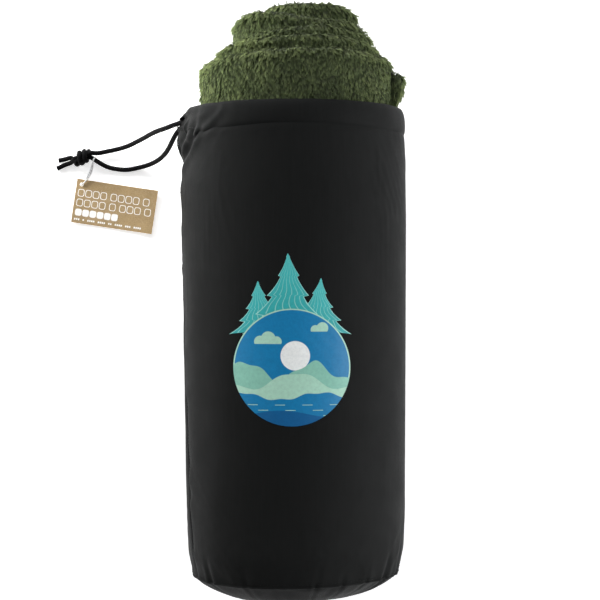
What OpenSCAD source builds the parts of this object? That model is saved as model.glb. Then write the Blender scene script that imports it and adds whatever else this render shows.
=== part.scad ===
// Rolled plush camp blanket in a round-bottomed drawstring pouch, lying on its back.
// +Y runs along the pouch towards its mouth, +Z is up, and the floor is z = 0.

/* [Pouch] */
// Half of the filled pouch's width
pouch_half_w = 83; // [80:0.5:90]
// Half of the height of the round section before it settles on the floor
pouch_half_h = 78; // [76:0.5:82]
// Height of the section's centre above the floor
pouch_axis_z = 74; // [73:0.5:76]
// Distance along the axis to the rim of the mouth
rim_y = 142; // [138:0.5:150]
// Distance along the axis to the seam of the base panel
base_seam_y = -204; // [-208:0.5:-203]
// How far the base panel bulges past its seam
base_bulge = 20; // [16:0.5:24]
// Thickness of the stand-in for the pouch's woven cloth
cloth_t = 1.2; // [1:0.1:1.6]

/* [Casing and cord] */
// Height of the drawstring casing at the mouth
casing_h = 16; // [15:0.5:20]
// Thickness of one layer of the casing
casing_wall = 0.6; // [0.5:0.1:0.8]
// Diameter of the braided drawcord
cord_d = 3.6; // [3:0.1:3.8]
// Clearance round the drawcord in its tunnel
cord_gap = 0.8; // [0.6:0.1:1]
// Diameter of the knot that ties the cord ends
knot_d = 12.4; // [11:0.2:12.6]

/* [Blanket] */
// Width of the folded strip that is rolled up
strip_w = 381; // [376:1:381]
// Height of the roll's centre above the floor
roll_axis_z = 76; // [75:0.5:77]
// Half widths of the roll's turns, from the outer turn to the core
turn_half_w = [74.5, 62, 53, 46, 33];
// Half heights of the turns
turn_half_h = [69, 57, 48, 41, 29];
// How far each turn's folded edge reaches along the axis
turn_top_y = [176, 191, 200, 213, 224];
// Sideways place of each turn's centre
turn_x = [0, 1, 0, 0, 13];

/* [Tag] */
// Length of the card
tag_w = 65; // [58:0.5:66]
// Width of the card
tag_h = 35; // [30:0.2:36]
// Thickness of the card
tag_t = 0.6; // [0.4:0.1:0.8]
// Radius of the hole that the loop goes through
tag_hole_r = 1.6; // [1.5:0.1:2]
// Distance of the hole from the card's two nearest edges
tag_hole_inset = 4; // [3.5:0.1:5]
// Angle of the card on the floor, in degrees
tag_turn = -8.6; // [-12:0.1:-6]
// Diameter of the clear loop
loop_d = 1; // [0.8:0.1:1.1]

/* [Print] */
// Radius of the round badge
badge_r = 41.4; // [36:0.2:44]
// Place of the badge's centre along the pouch
badge_y = -47.5; // [-60:0.5:-30]
// Place of the badge's centre across the pouch
badge_x = -1.6; // [-4:0.2:4]
// Thickness of the ink
ink_t = 0.25; // [0.2:0.05:0.4]

/* [Hidden] */

arc_n = 56;                        // facets round a settled section
touch = 0.05;                      // gap that keeps neighbouring pieces apart
cord_r = cord_d / 2;
casing_y = rim_y - casing_h;
tunnel = cord_d + 2 * cord_gap;
casing_t = tunnel + 2 * casing_wall;
ring_inset = casing_wall + tunnel / 2;
ring_y = rim_y - casing_h / 2;

// The cord leaves the casing on the -X side, where its two ends turn out of the tunnel.
ring_ends_z = [88, 62];
slit_z = [56, 92];
slit_h = 10;
tack_out = 2;                      // from each end of the slit to the middle of its bar tack
ring_steps = 46;
route_upper = [[-80, 134, 83], [-82.5, 133.6, 78], [-86.5, 132.8, 74], [-92, 131.5, 69.5],
    [-98.5, 130, 62.5], [-105, 129, 53], [-111, 127.8, 42], [-117, 126, 31.5],
    [-124, 124, 20.5], [-132, 121.5, 11.5], [-141, 119.5, 6], [-150, 117.8, 4],
    [-157.5, 116.2, 4.5], [-162, 115.2, 5.5]];
route_lower = [[-80.2, 133.5, 66.5], [-82.5, 132, 70], [-85.8, 129.3, 70.5],
    [-89.5, 125.3, 66.5], [-92.8, 121, 59.5], [-95.6, 117.6, 50.5], [-98.5, 114.8, 41],
    [-102, 112.4, 31], [-106.5, 110.1, 20.5], [-112, 108.2, 11.5], [-118.5, 106.4, 5.5],
    [-126, 104.8, 2.6], [-134, 103.6, 2], [-142, 104.2, 2.2], [-149, 105.8, 3.2],
    [-155, 108.3, 4.2], [-162, 111.6, 5.4]];
tail_upper = [[-171.5, 115, 4.2], [-179, 113.2, 2.6], [-186.4, 111.6, 2]];
tail_lower = [[-171, 110.9, 4], [-178.5, 109, 2.4], [-187.2, 105.8, 2]];
knot_at = [-167.2, 113.9, knot_d / 2];

// The clear loop hooks round the lower strand and runs to the card's hole.
hook_at = [-157.2, 109.4, 0];
tag_z = loop_d + 0.3;
tag_hole_at = [-169.6, 92.1, 0];
loop_run = tag_hole_at - hook_at;
loop_len = norm(loop_run);
loop_along = loop_run / loop_len;
loop_side = cross([0, 0, 1], loop_along);
loop_low = loop_d / 2 + 0.1;
loop_over = tag_z + tag_t + 0.2 + loop_d / 2;
loop_top = 7.4;
// Each row is [distance along the loop, sideways, height].
loop_route = [[-3.2, 0, 4.2], [-2.4, 0.2, 6.3], [0, 0.4, loop_top], [3.5, 0.6, 6.6],
    [8, 0.7, 4.9], [13, 0.7, 3.4], [loop_len - 3.5, 0.5, loop_over],
    [loop_len - 1, 0.2, loop_over - 0.1], [loop_len, 0, tag_z + tag_t / 2],
    [loop_len - 1, -0.2, loop_low + 0.1], [loop_len - 3.5, -0.5, loop_low],
    [13, -0.7, loop_low], [8, -0.7, loop_low], [3.5, -0.6, loop_low],
    [0, -0.4, loop_low + 0.1], [-2.4, -0.2, 2]];

// Each pine is [sideways place, height of its tip over the badge's centre, half width at its foot].
pine_rise = 39;
badge_pines = [[-25, 60, 25], [-3, badge_r + pine_rise, 25], [20, 62, 25]];

// Each row of blocks printed on the card is [place across the card, block width, block height,
// corner cut, gap, width of the outline or 0 for solid blocks, blocks in each group].
print_rows = [[6.8, 5.2, 6, 1.6, 0.8, 0.5, [4, 4, 1]], [-1, 5.2, 6, 1.6, 0.8, 0.5, [4, 1, 3, 1]],
    [-8.8, 5.3, 5.6, 1, 0.5, 0, [6]], [-14.4, 1.2, 1.5, 0.3, 0.35, 0, [3, 1, 4, 4, 2, 4, 3, 4]]];
print_margin = 2;                  // from the card's left edge to the rows
group_gap = 2.2;                   // from one group of blocks to the next

// Outline of the settled section, cut back all round by inset; x across, y as height.
function settled(half_w, half_h, axis_z, inset, floor_z) =
    let (w = half_w - inset, h = half_h - inset,
        low = asin(max(-1, (floor_z - axis_z) / h)))
    [for (i = [0:arc_n]) let (t = low + (180 - 2 * low) * i / arc_n)
        [w * cos(t), axis_z + h * sin(t)]];
function pouch_section(inset) =
    settled(pouch_half_w, pouch_half_h, pouch_axis_z, inset, max(inset, 0));
function turn_section(i) =
    [for (p = settled(turn_half_w[i], turn_half_h[i], roll_axis_z, 0, roll_axis_z - turn_half_h[i] + 1))
        [p[0] + turn_x[i], p[1]]];
function unit(v) = v / norm(v);

// Point of the drawcord's ring inside the casing; t in degrees, 0 at +X, 90 on top.
function ring_point(t) =
    [(pouch_half_w - ring_inset) * cos(t), ring_y,
        max(ring_inset, pouch_axis_z + (pouch_half_h - ring_inset) * sin(t))];
function ring_angle(z) = 180 - asin((z - pouch_axis_z) / (pouch_half_h - ring_inset));
ring_from = ring_angle(ring_ends_z[0]) - 360;
ring_to = ring_angle(ring_ends_z[1]) - 360;
// The ring runs from its upper end over the top, down the +X side, and back underneath.
ring_sweep = 360 - (ring_to - ring_from);
ring_route = [for (i = [0:ring_steps]) ring_point(ring_from - ring_sweep * i / ring_steps)];

// Solid from y0 to y1 whose section is an outline in x and height.
module along_y(outline, y0, y1) {
    translate([0, y1, 0]) rotate([90, 0, 0]) linear_extrude(y1 - y0) polygon(outline);
}

// Band of the pouch's section between two insets.
module pouch_band(outer_inset, inner_inset, y0, y1) {
    difference() {
        along_y(pouch_section(outer_inset), y0, y1);
        along_y(pouch_section(inner_inset), y0 - 1, y1 + 1);
    }
}

// Eight-sided tube along points; ref is a direction that the route never takes.
module tube(route, r, ref, closed = false) {
    n = len(route);
    sides = 8;
    along = [for (i = [0:n - 1]) closed
        ? unit(route[(i + 1) % n] - route[(i + n - 1) % n])
        : unit(route[min(i + 1, n - 1)] - route[max(i - 1, 0)])];
    rings = [for (i = [0:n - 1])
        let (u = unit(cross(along[i], ref)), v = cross(along[i], u))
        for (k = [0:sides - 1]) route[i] + r * (u * cos(360 * k / sides) + v * sin(360 * k / sides))];
    last = closed ? n - 1 : n - 2;
    walls = [for (i = [0:last], k = [0:sides - 1])
        let (a = i * sides, b = ((i + 1) % n) * sides, m = (k + 1) % sides)
        [a + k, a + m, b + m, b + k]];
    caps = closed ? [] : [[for (k = [sides - 1:-1:0]) k],
        [for (k = [0:sides - 1]) (n - 1) * sides + k]];
    polyhedron(rings, concat(walls, caps), convexity = 8);
}

// Rolled strip: each turn stands a little further out of the roll than the one round it.
module blanket() {
    color("darkolivegreen") difference() {
        union() {
            for (i = [0:len(turn_top_y) - 1])
                along_y(turn_section(i), turn_top_y[i] - strip_w, turn_top_y[i]);
        }
        for (i = [0:len(turn_top_y) - 2])
            along_y(turn_section(i + 1), turn_top_y[i] - strip_w - 1, turn_top_y[i + 1] - strip_w);
    }
}

// Overlocked edges of the four plies at the roll's loose end.
module blanket_hem() {
    color("olivedrab") for (row = [0:3])
        translate([turn_half_w[0] + touch, turn_top_y[0] - strip_w + 4, roll_axis_z - 4 + 3 * row])
            cube([0.8, strip_w - 12, 1.4]);
}

module pouch_body() {
    color([0.13, 0.14, 0.14]) pouch_band(0, cloth_t, base_seam_y, casing_y - touch);
}

// Domed round panel, gathered into the base seam.
module pouch_base() {
    // Each step is [how far in from the wall, share of the bulge].
    steps = [[0, 0], [3, 0.55], [9, 0.85], [24, 1]];
    slab = 0.1;
    top = base_seam_y - touch;
    module dome(inset) {
        depth = base_bulge - touch - slab - inset;
        hull() for (s = steps)
            along_y(pouch_section(inset + s[0]), top - depth * s[1] - slab, top - depth * s[1]);
    }
    color([0.13, 0.14, 0.14]) difference() {
        dome(0);
        translate([0, 0.2, 0]) dome(cloth_t);
    }
}

// Folded band at the mouth, with the tunnel for the drawcord and its exit slit.
module pouch_casing() {
    color([0.16, 0.17, 0.17]) difference() {
        pouch_band(0, casing_t, casing_y, rim_y);
        pouch_band(casing_wall, casing_t - casing_wall, casing_y + casing_wall, rim_y - casing_wall);
        translate([-pouch_half_w - 1, ring_y - slit_h / 2, slit_z[0]])
            cube([4, slit_h, slit_z[1] - slit_z[0]]);
    }
}

// Overlocked seam allowance of the body panel, lying flat inside the -X wall.
module side_seam() {
    color("black") translate([-pouch_half_w + cloth_t + 0.2, base_seam_y + 8, pouch_axis_z - 4])
        cube([1.2, casing_y - base_seam_y - 12, 8]);
}

// Overlocked seam allowance where the base panel joins the body.
module base_seam() {
    color("black") pouch_band(cloth_t + touch, cloth_t + 1.2, base_seam_y + 0.5, base_seam_y + 6.5);
}

// Row of stitches that closes the casing, left out where the pouch lies on the floor.
module casing_stitching() {
    pitch = 2.4;
    a = pouch_half_w + 0.02;
    b = pouch_half_h + 0.02;
    color("black") for (t = [-26:pitch:204])
        translate([a * cos(t), casing_y + 1.2, pouch_axis_z + b * sin(t)])
            rotate([0, -t, 0]) translate([0.15, 0, 0]) cube([0.3, 0.5, 2.2], center = true);
}

// Two bar tacks, one at each end of the exit slit.
module cord_exit_tacks() {
    color("black") for (z = [slit_z[0] - tack_out, slit_z[1] + tack_out]) {
        lean = asin((z - pouch_axis_z) / pouch_half_h);
        translate([-pouch_half_w * cos(lean), ring_y, z]) rotate([0, lean, 0])
            translate([-0.4, 0, 0]) cube([0.4, 9, 1.6], center = true);
    }
}

// Ink of the badge, on top of the pouch: a round scene with three pines standing over it.
module badge_print() {
    color("steelblue") intersection() {
        pouch_band(-touch - ink_t, -touch, badge_y - badge_r - 1, badge_y + badge_r + pine_rise + 1);
        translate([badge_x, badge_y, pouch_axis_z]) linear_extrude(pouch_half_h + 10) {
            circle(r = badge_r, $fn = 96);
            for (pine = badge_pines)
                polygon([[pine[0] - pine[2], 0], [pine[0] + pine[2], 0], [pine[0], pine[1]]]);
        }
    }
}

module drawcord_in_casing() {
    color([0.05, 0.05, 0.05]) tube(ring_route, cord_r, [0, 1, 0]);
}

module cord_upper() {
    color([0.05, 0.05, 0.05]) tube(concat([ring_route[0]], route_upper), cord_r, [0, 1, 0]);
}

module cord_lower() {
    color([0.05, 0.05, 0.05]) tube(concat([ring_route[ring_steps]], route_lower), cord_r, [0, 1, 0]);
}

// Overhand knot, tied in both ends together.
module cord_knot() {
    color([0.05, 0.05, 0.05]) hull() for (side = [-1, 1])
        translate(knot_at + [1.4 * side, 0.9 * side, 0]) sphere(d = knot_d, $fn = 20);
}

module cord_tails() {
    color([0.05, 0.05, 0.05]) for (route = [tail_upper, tail_lower]) tube(route, cord_r, [0, 0, 1]);
}

module tag_loop() {
    color([0.85, 0.85, 0.85]) tube(
        [for (p = loop_route) hook_at + loop_along * p[0] + loop_side * p[1] + [0, 0, p[2]]],
        loop_d / 2, loop_side, closed = true);
}

// Moves a piece from the card's own frame, with its hole at the origin, to its place.
module on_tag() {
    translate(tag_hole_at) rotate([0, 0, tag_turn])
        translate([tag_w / 2 - tag_hole_inset, tag_hole_inset - tag_h / 2, tag_z]) children();
}

module hang_tag() {
    color("tan") on_tag() difference() {
        translate([-tag_w / 2, -tag_h / 2, 0]) cube([tag_w, tag_h, tag_t]);
        translate([tag_hole_inset - tag_w / 2, tag_h / 2 - tag_hole_inset, -1])
            cylinder(h = tag_t + 2, r = tag_hole_r, $fn = 32);
    }
}

// Where the blocks of a row start, along it: each group begins a gap after the one before.
function block_starts(pitch, groups) = [for (g = [0:len(groups) - 1], k = [0:groups[g] - 1])
    (blocks_before(groups, g) + k) * pitch + g * group_gap];
function blocks_before(groups, g) = g == 0 ? 0 : groups[g - 1] + blocks_before(groups, g - 1);

// A block of ink with its corners cut off.
module ink_block(w, h, cut, thick)
    linear_extrude(height = thick) polygon([[cut, 0], [w - cut, 0], [w, cut], [w, h - cut],
        [w - cut, h], [cut, h], [0, h - cut], [0, cut]]);

// Rows of plain ink blocks across the card: two outlined, one solid and one small.
module tag_print() {
    ink = 0.1;
    color("white") on_tag() for (row = print_rows, start = block_starts(row[1] + row[4], row[6])) {
        edge = row[5];
        translate([print_margin - tag_w / 2 + start, row[0] - row[2] / 2, tag_t + 0.02]) difference() {
            ink_block(row[1], row[2], row[3], ink);
            if (edge > 0)
                translate([edge, edge, -1])
                    ink_block(row[1] - 2 * edge, row[2] - 2 * edge, row[3] - edge * (2 - sqrt(2)), ink + 2);
        }
    }
}

blanket();
blanket_hem();
pouch_body();
pouch_base();
pouch_casing();
side_seam();
base_seam();
casing_stitching();
cord_exit_tacks();
badge_print();
drawcord_in_casing();
cord_upper();
cord_lower();
cord_knot();
cord_tails();
tag_loop();
hang_tag();
tag_print();
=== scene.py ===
"""A rolled plush camp blanket in its round-bottomed drawstring pouch, lying on its back.

Everything is in metres in the CAD frame: +Y along the pouch to its mouth, +Z up from the floor.
"""

import math

import bmesh
import bpy
import numpy as np
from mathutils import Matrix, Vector
from mathutils.bvhtree import BVHTree


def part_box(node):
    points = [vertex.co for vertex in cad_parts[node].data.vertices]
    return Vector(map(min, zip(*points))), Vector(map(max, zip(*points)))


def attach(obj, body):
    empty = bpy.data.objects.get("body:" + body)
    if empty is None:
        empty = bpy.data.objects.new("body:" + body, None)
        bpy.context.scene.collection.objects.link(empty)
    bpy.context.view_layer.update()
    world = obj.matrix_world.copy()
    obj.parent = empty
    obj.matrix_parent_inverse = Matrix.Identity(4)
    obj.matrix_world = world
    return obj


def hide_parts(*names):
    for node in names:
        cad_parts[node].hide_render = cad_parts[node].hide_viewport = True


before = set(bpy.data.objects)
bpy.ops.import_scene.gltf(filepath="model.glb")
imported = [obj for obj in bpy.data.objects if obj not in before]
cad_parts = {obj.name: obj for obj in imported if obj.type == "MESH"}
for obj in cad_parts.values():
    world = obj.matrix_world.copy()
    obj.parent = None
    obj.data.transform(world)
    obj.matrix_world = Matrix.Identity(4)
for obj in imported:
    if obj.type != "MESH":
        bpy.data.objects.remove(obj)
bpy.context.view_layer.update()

MM = 0.001

POUCH_LO, POUCH_HI = (np.array(c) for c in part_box("pouch_body"))
RIM_LO, RIM_HI = (np.array(c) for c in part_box("pouch_casing"))
# The heights of the pouch's axis and of the roll's, and the pouch's mean radius.
AXIS_Z, ROLL_Z = 0.074, 0.076
GIRTH_R = 82 * MM
HALF_H = POUCH_HI[2] - AXIS_Z
SEAM_Y = POUCH_LO[1]
CASING_Y = RIM_LO[1]
RIM_Y = RIM_HI[1]
# How near the floor cloth may come.
FLOOR_GAP = 0.3 * MM


# ---------------------------------------------------------------- numbers and noise

def xyz(x, y=0.0, z=0.0):
    """Points from their three numbers, which may be arrays of any shapes that fit together."""
    return np.stack(np.broadcast_arrays(x, y, z), -1)


def unit(v):
    """Vectors along the last axis, made one long."""
    return v / np.maximum(np.linalg.norm(v, axis=-1, keepdims=True), 1e-12)


def ease(x):
    """0 below 0, 1 above 1, and smooth between."""
    x = np.clip(x, 0, 1)
    return x * x * (3 - 2 * x)


def lattice(p, size, seed):
    """Smooth noise from -1 to 1 at points p, whose lumps are about size across."""
    p = np.asarray(p, float)
    q = p.reshape(-1, 3) / size + 31.7 * seed
    i = np.floor(q).astype(np.int64)
    f = q - i
    f = f * f * (3 - 2 * f)
    total = np.zeros(len(q))
    for corner in range(8):
        d = np.array([corner & 1, corner >> 1 & 1, corner >> 2 & 1])
        h = (i + d) @ np.array([73856093, 19349663, 83492791], np.int64) + seed * 2654435761
        h = (h ^ (h >> 13)) & 0xFFFFFFF
        h = (h * 1597334677 ^ (h << 7)) & 0xFFFFFFF
        h = (h ^ (h >> 11)) * 48271 & 0xFFFFFFF
        total += (h / 0x8000000 - 1) * np.prod(np.where(d, f, 1 - f), axis=1)
    return total.reshape(p.shape[:-1])


def fractal(p, size, seed, octaves=3):
    """Noise with finer lumps on the coarse ones."""
    return sum(lattice(p, size / 2 ** k, seed + k) / 2 ** k for k in range(octaves))


def blurred(values, width):
    """The row of values, smoothed over about width of them, its ends held."""
    half = int(3 * width)
    kernel = np.exp(-0.5 * (np.arange(-half, half + 1) / width) ** 2)
    return np.convolve(np.pad(values, half, mode="edge"), kernel / kernel.sum(), mode="valid")


def distances(p):
    """How far along line p each of its points is."""
    return np.concatenate([[0], np.cumsum(np.linalg.norm(np.diff(p, axis=0), axis=1))])


def along_line(p, s, at):
    """Points at distances at of a line whose points p are at distances s."""
    return np.stack([np.interp(at, s, column) for column in p.T], -1)


# ---------------------------------------------------------------- meshes

def new_mesh(name, points, faces, smooth=True):
    """A mesh piece from points and faces, which may be arrays."""
    me = bpy.data.meshes.new(name)
    me.from_pydata(np.asarray(points).tolist(), [], [list(f) for f in np.asarray(faces).tolist()]
                   if isinstance(faces, np.ndarray) else faces)
    me.validate()
    me.update()
    me.shade_smooth() if smooth else me.shade_flat()
    o = bpy.data.objects.new(name, me)
    bpy.context.scene.collection.objects.link(o)
    return o


def grid_faces(columns, rows, around=False):
    """Quads of a grid whose points run row by row down each column."""
    c = np.arange(columns if around else columns - 1)[:, None]
    r = np.arange(rows - 1)[None, :]
    a = c * rows + r
    b = (c + 1) % columns * rows + r
    return np.stack([a, b, b + 1, a + 1], -1).reshape(-1, 4)


def rectangle(half_x, half_y, z):
    """The corners of a level rectangle about the origin."""
    return [(sx * half_x, sy * half_y, z) for sx, sy in ((-1, -1), (1, -1), (1, 1), (-1, 1))]


def points_of(mesh):
    """A mesh's points as an array."""
    v = np.empty(len(mesh.vertices) * 3)
    mesh.vertices.foreach_get("co", v)
    return v.reshape(-1, 3)


def set_uv(o, uv):
    """Gives piece o a UV map from one pair of numbers for each of its points."""
    corners = np.empty(len(o.data.loops), np.int32)
    o.data.loops.foreach_get("vertex_index", corners)
    layer = o.data.uv_layers.active or o.data.uv_layers.new(name="UVMap")
    layer.data.foreach_set("uv", uv[corners].reshape(-1))


def smoothed(o):
    """Piece o with a level of subdivision."""
    smooth = o.modifiers.new("smooth", "SUBSURF")
    smooth.levels = smooth.render_levels = 1
    return o


# ---------------------------------------------------------------- the blanket

# The throw is folded in four along its length, edges to the middle and over again, and rolled up.
SHEET_W, SHEET_L = 1.270, 1.524
STRIP_W = SHEET_L / 4
# Where the loose end lies, in degrees from +X towards the top.
END_AT = 14
# Millimetres from the roll's axis to the middle of the strip, for each turn from the loose end
# inwards: on its right, underneath, on its left and on top.
TURNS = [(74.5, 62, 62.5, 62.5), (66.5, 48, 53, 48), (56, 33, 38, 33), (53, 17, 12.5, 18),
         (39, 7, 3, 8), (22, 5, 1, 6)]
# Millimetres along the pouch to the strip's fold, at those four places and halfway to the next.
TOPS = [(164, 165, 168, 169, 168, 174.5, 176.8, 176), (172, 177, 181, 181, 178, 188, 189.5, 188),
        (184, 192, 201, 204, 205, 210.5, 204, 201), (192, 201, 208, 213, 215.5, 217.5, 217, 214.5),
        (207, 213, 215, 214, 212, 212, 212, 212), (208, 208, 208, 208, 208, 208, 208, 208)]
# How far the inner of the strip's two folds stands out past the outer one, at the same places.
INNER_RISE = [(3, 0, -1, -3), (0, 2, 0, 8), (7, 3, -2, -4), (0, 2, -4, -3), (-3, 0, 0, 0), (0, 0, 0, 0)]
PLY_CAP = 7.2 * MM                     # half of the strip's thickness where nothing squeezes it
TUCK = 9 * MM                          # how far the sheet's raw edges stop short of the fold


def per_turn(rows, psi, side):
    """One side's numbers, from turn to turn, at angles psi from the loose end."""
    at = END_AT + 90 * side + 360 * np.arange(len(rows))
    return np.interp(psi, at, [r[side] for r in rows])


def per_part(rows, psi, width=14):
    """Numbers given at even steps through each turn, at angles psi a degree apart."""
    values = np.ravel(rows)
    at = END_AT + 360 / len(rows[0]) * np.arange(len(values))
    return blurred(np.interp(psi, at, values), width)


def roll_line():
    """The strip's middle line and what goes with it, a degree apart from the loose end inwards."""
    psi = np.arange(0, 360 * (len(TURNS) - 1) + END_AT, 1.0)
    right, under, left, top = (blurred(per_turn(TURNS, psi, k), 30) * MM for k in range(4))
    a = np.radians(END_AT - psi)
    x = (right - left) / 2 + (right + left) / 2 * np.cos(a)
    z = (top - under) / 2 + (top + under) / 2 * np.sin(a)
    line = np.stack([x, z], -1)
    along = unit(np.gradient(line, axis=0))
    out = np.stack([-along[:, 1], along[:, 0]], -1)
    if (out[0] * line[0]).sum() < 0:
        out = -out
    gap = np.linalg.norm(line[360:] - line[:-360], axis=-1)
    outer = np.concatenate([np.full(360, 1.0), gap])
    inner = np.concatenate([gap, np.full(360, gap[-1])])
    return dict(psi=psi, s=distances(line), line=line, out=out,
                outer=blurred(np.minimum(outer / 2, PLY_CAP), 6),
                inner=blurred(np.minimum(inner / 2, PLY_CAP), 6),
                top=per_part(TOPS, psi) * MM, rise=per_part(INNER_RISE, psi) * MM)


def fold(n0, n1, y, bulge, steps):
    """Half turn of a fold from offset n0 to offset n1 at height y."""
    t = np.linspace(0, math.pi, steps + 2)[1:-1, None]
    mid, r = (n0 + n1) / 2, (n0 - n1) / 2
    return mid + r * np.cos(t), y + bulge * np.abs(r) * np.sin(t)


def run(n, y0, y1, steps, crowd=1.0):
    """Straight ply from y0 to y1, its points crowded towards y1 where crowd is over 1."""
    t = 1 - (1 - np.linspace(0, 1, steps)[:, None]) ** crowd
    return n + 0 * t, y0 + (y1 - y0) * t


def strip_section(outer, inner, top, rise, foot):
    """Offsets and heights down the four plies, one column for each place along the strip."""
    q = 0.25
    top_a, top_b = top - 1.3 * q * outer, top + rise - 1.3 * q * inner
    big = 0.75 * (outer + inner) / 2
    low = foot + big
    parts = [
        run(q * outer, low + TUCK, top_a, 12, 2.2),
        fold(q * outer, 3 * q * outer, top_a, 1.5, 6),
        run(3 * q * outer, top_a, top_a - 60 * MM, 22),
        run(3 * q * outer, top_a - 63 * MM, low, 70),
        fold(3 * q * outer, -3 * q * inner, low, -1.1, 12),
        run(-3 * q * inner, low, top_b, 22, 2.2),
        fold(-3 * q * inner, -q * inner, top_b, 1.5, 6),
        run(-q * inner, top_b, low + TUCK, 12),
    ]
    return np.concatenate([p[0] for p in parts]).T, np.concatenate([p[1] for p in parts]).T


def mouth_fit(x, z, y, room_x=76.6 * MM, room_z=69.2 * MM):
    """Presses what is inside the mouth, or still has to pass it, into the room there."""
    r = np.maximum(np.hypot(x / room_x, (z - ROLL_Z) / room_z), 1e-9)
    soft = np.where(r > 0.96, 0.96 + 0.04 * np.tanh((r - 0.96) / 0.04), r)
    k = 1 + (1 - ease((y - RIM_Y + 2 * MM) / (16 * MM))) * (soft / r - 1)
    return x * k, ROLL_Z + (z - ROLL_Z) * k


def base_dome(r):
    """Heights of the pouch's base at share r of the way out from its middle."""
    return SEAM_Y - 18.4 * MM * (1 - r ** 3.6)


def make_blanket():
    """The folded and rolled throw as one closed sheet.

    Returns the piece, which of its faces are the loose end's cut edge, and the points of its two
    sides by column and row.
    """
    roll = roll_line()
    step = 3.2 * MM
    at = np.linspace(0, SHEET_W, round(SHEET_W / step) + 1)
    pick = {k: along_line(v, roll["s"], at) if v.ndim > 1 else np.interp(at, roll["s"], v)
            for k, v in roll.items()}
    pick["out"] = unit(pick["out"])
    wave = lambda size, seed: lattice(xyz(at), size * MM, seed) * MM
    top = pick["top"] + 1.3 * wave(45, 1) + 0.8 * wave(13, 2)
    rise = pick["rise"] + 0.9 * wave(24, 3)
    foot = pick["top"] - STRIP_W + 0.9 * wave(30, 4)
    reach = np.hypot(pick["line"][:, 0] / (80 * MM), pick["line"][:, 1] / (77 * MM)) + 0.07
    foot = np.maximum(foot, base_dome(np.minimum(reach, 1)) + 7.5 * MM)
    n, y = strip_section(pick["outer"], pick["inner"], top, rise, foot)
    columns, rows = n.shape
    # the cloth's own normal in the plane of offset and height
    dn, dy = np.gradient(n, axis=1), np.gradient(y, axis=1)
    size = np.maximum(np.hypot(dn, dy), 1e-9)
    nn, ny = -dy / size, dn / size
    room = np.where(n > 0, pick["outer"][:, None], pick["inner"][:, None])
    half = np.minimum(1.5 * MM, 0.205 * room)
    sides = []
    for sign in (1, -1):
        ns, ys = n + sign * half * nn, y + sign * half * ny
        x = pick["line"][:, 0][:, None] + pick["out"][:, 0][:, None] * ns
        z = ROLL_Z + pick["line"][:, 1][:, None] + pick["out"][:, 1][:, None] * ns
        p = xyz(x, ys, z).reshape(-1, 3)
        # soft dents and lumps, the same on both faces of the cloth
        mid = xyz(x - sign * half * nn, y, z).reshape(-1, 3)
        lump = (0.8 * lattice(mid, 38 * MM, 5) + 0.45 * lattice(mid, 15 * MM, 6)) * MM
        out3 = xyz(pick["out"][:, 0][:, None], 0 * x, pick["out"][:, 1][:, None]).reshape(-1, 3)
        p = p + out3 * lump[:, None]
        p[:, 1] += 0.5 * MM * lattice(mid, 20 * MM, 7)
        # tufts stand proud on the cloth's outward face
        nap = xyz(mid[:, 0], mid[:, 1] / 2.6, mid[:, 2])
        tuft = 0.35 * MM * lattice(nap, 4.5 * MM, 8)
        normal3 = unit(out3 * nn.reshape(-1, 1) + np.array([0, 1, 0]) * ny.reshape(-1, 1))
        p = p + sign * normal3 * tuft[:, None]
        px, pz = mouth_fit(p[:, 0], p[:, 2], p[:, 1])
        p[:, 0], p[:, 2] = px, pz
        sides.append(p)
    count = columns * rows
    face_b = grid_faces(columns, rows) + count
    face_a = face_b[:, ::-1] - count
    first, last = np.arange(rows - 1), (columns - 1) * rows + np.arange(rows - 1)
    ends = [np.stack([first, first + 1, first + 1 + count, first + count], -1),
            np.stack([last, last + count, last + 1 + count, last + 1], -1)]
    c = np.arange(columns - 1) * rows
    d = c + rows - 1
    ends += [np.stack([c, c + count, c + rows + count, c + rows], -1),
             np.stack([d, d + rows, d + rows + count, d + count], -1)]
    faces = np.concatenate([face_a, face_b] + [e[:, ::-1] for e in ends])
    o = new_mesh("blanket_throw", np.concatenate(sides), faces)
    edge = np.zeros(len(faces), bool)
    edge[2 * len(face_a):2 * len(face_a) + rows - 1] = True
    return o, edge, [p.reshape(columns, rows, 3) for p in sides]


def lie(p, n, outward):
    """Which way the nap runs at points p with normals n: towards the base, and outwards on the folds."""
    want = outward * 0.42 + np.array([0, -1.0, 0])
    one, two, three = (lattice(p, 16 * MM, seed) for seed in (21, 22, 23))
    want = want + 0.24 * xyz(one, 0.4 * two, three)
    return unit(want - (want * n).sum(-1, keepdims=True) * n)


# The pile: tufts on the whole throw, hairs in each, and the hairs' points, length and thickness.
TUFTS, QUICK_TUFTS, HAIRS, HAIR_POINTS = 84000, 20000, 11, 5
HAIR_LONG, HAIR_THICK, TUFT_R = 4.7 * MM, 0.19 * MM, 0.95 * MM
PILE_SEED = 7
# A face sees the air when a ray out of it runs this far, in metres, without meeting the throw. Only
# faces this far out from the roll's axis, or past these heights, are tried.
AIR_RAY, AIR_OUT, AIR_ENDS = 0.022, 0.052, (-0.170, 0.150)
# Hairs lie in a crease, where they get painted shade, when the next turn is nearer than this. None is looked
# for below this height.
CREASE_RAY, CREASE_FROM = 0.011, 0.13
# Below this height, and over this much more, the pouch presses the pile flat.
PRESSED_TO, PRESSED_OVER = 0.122, 0.016


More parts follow.
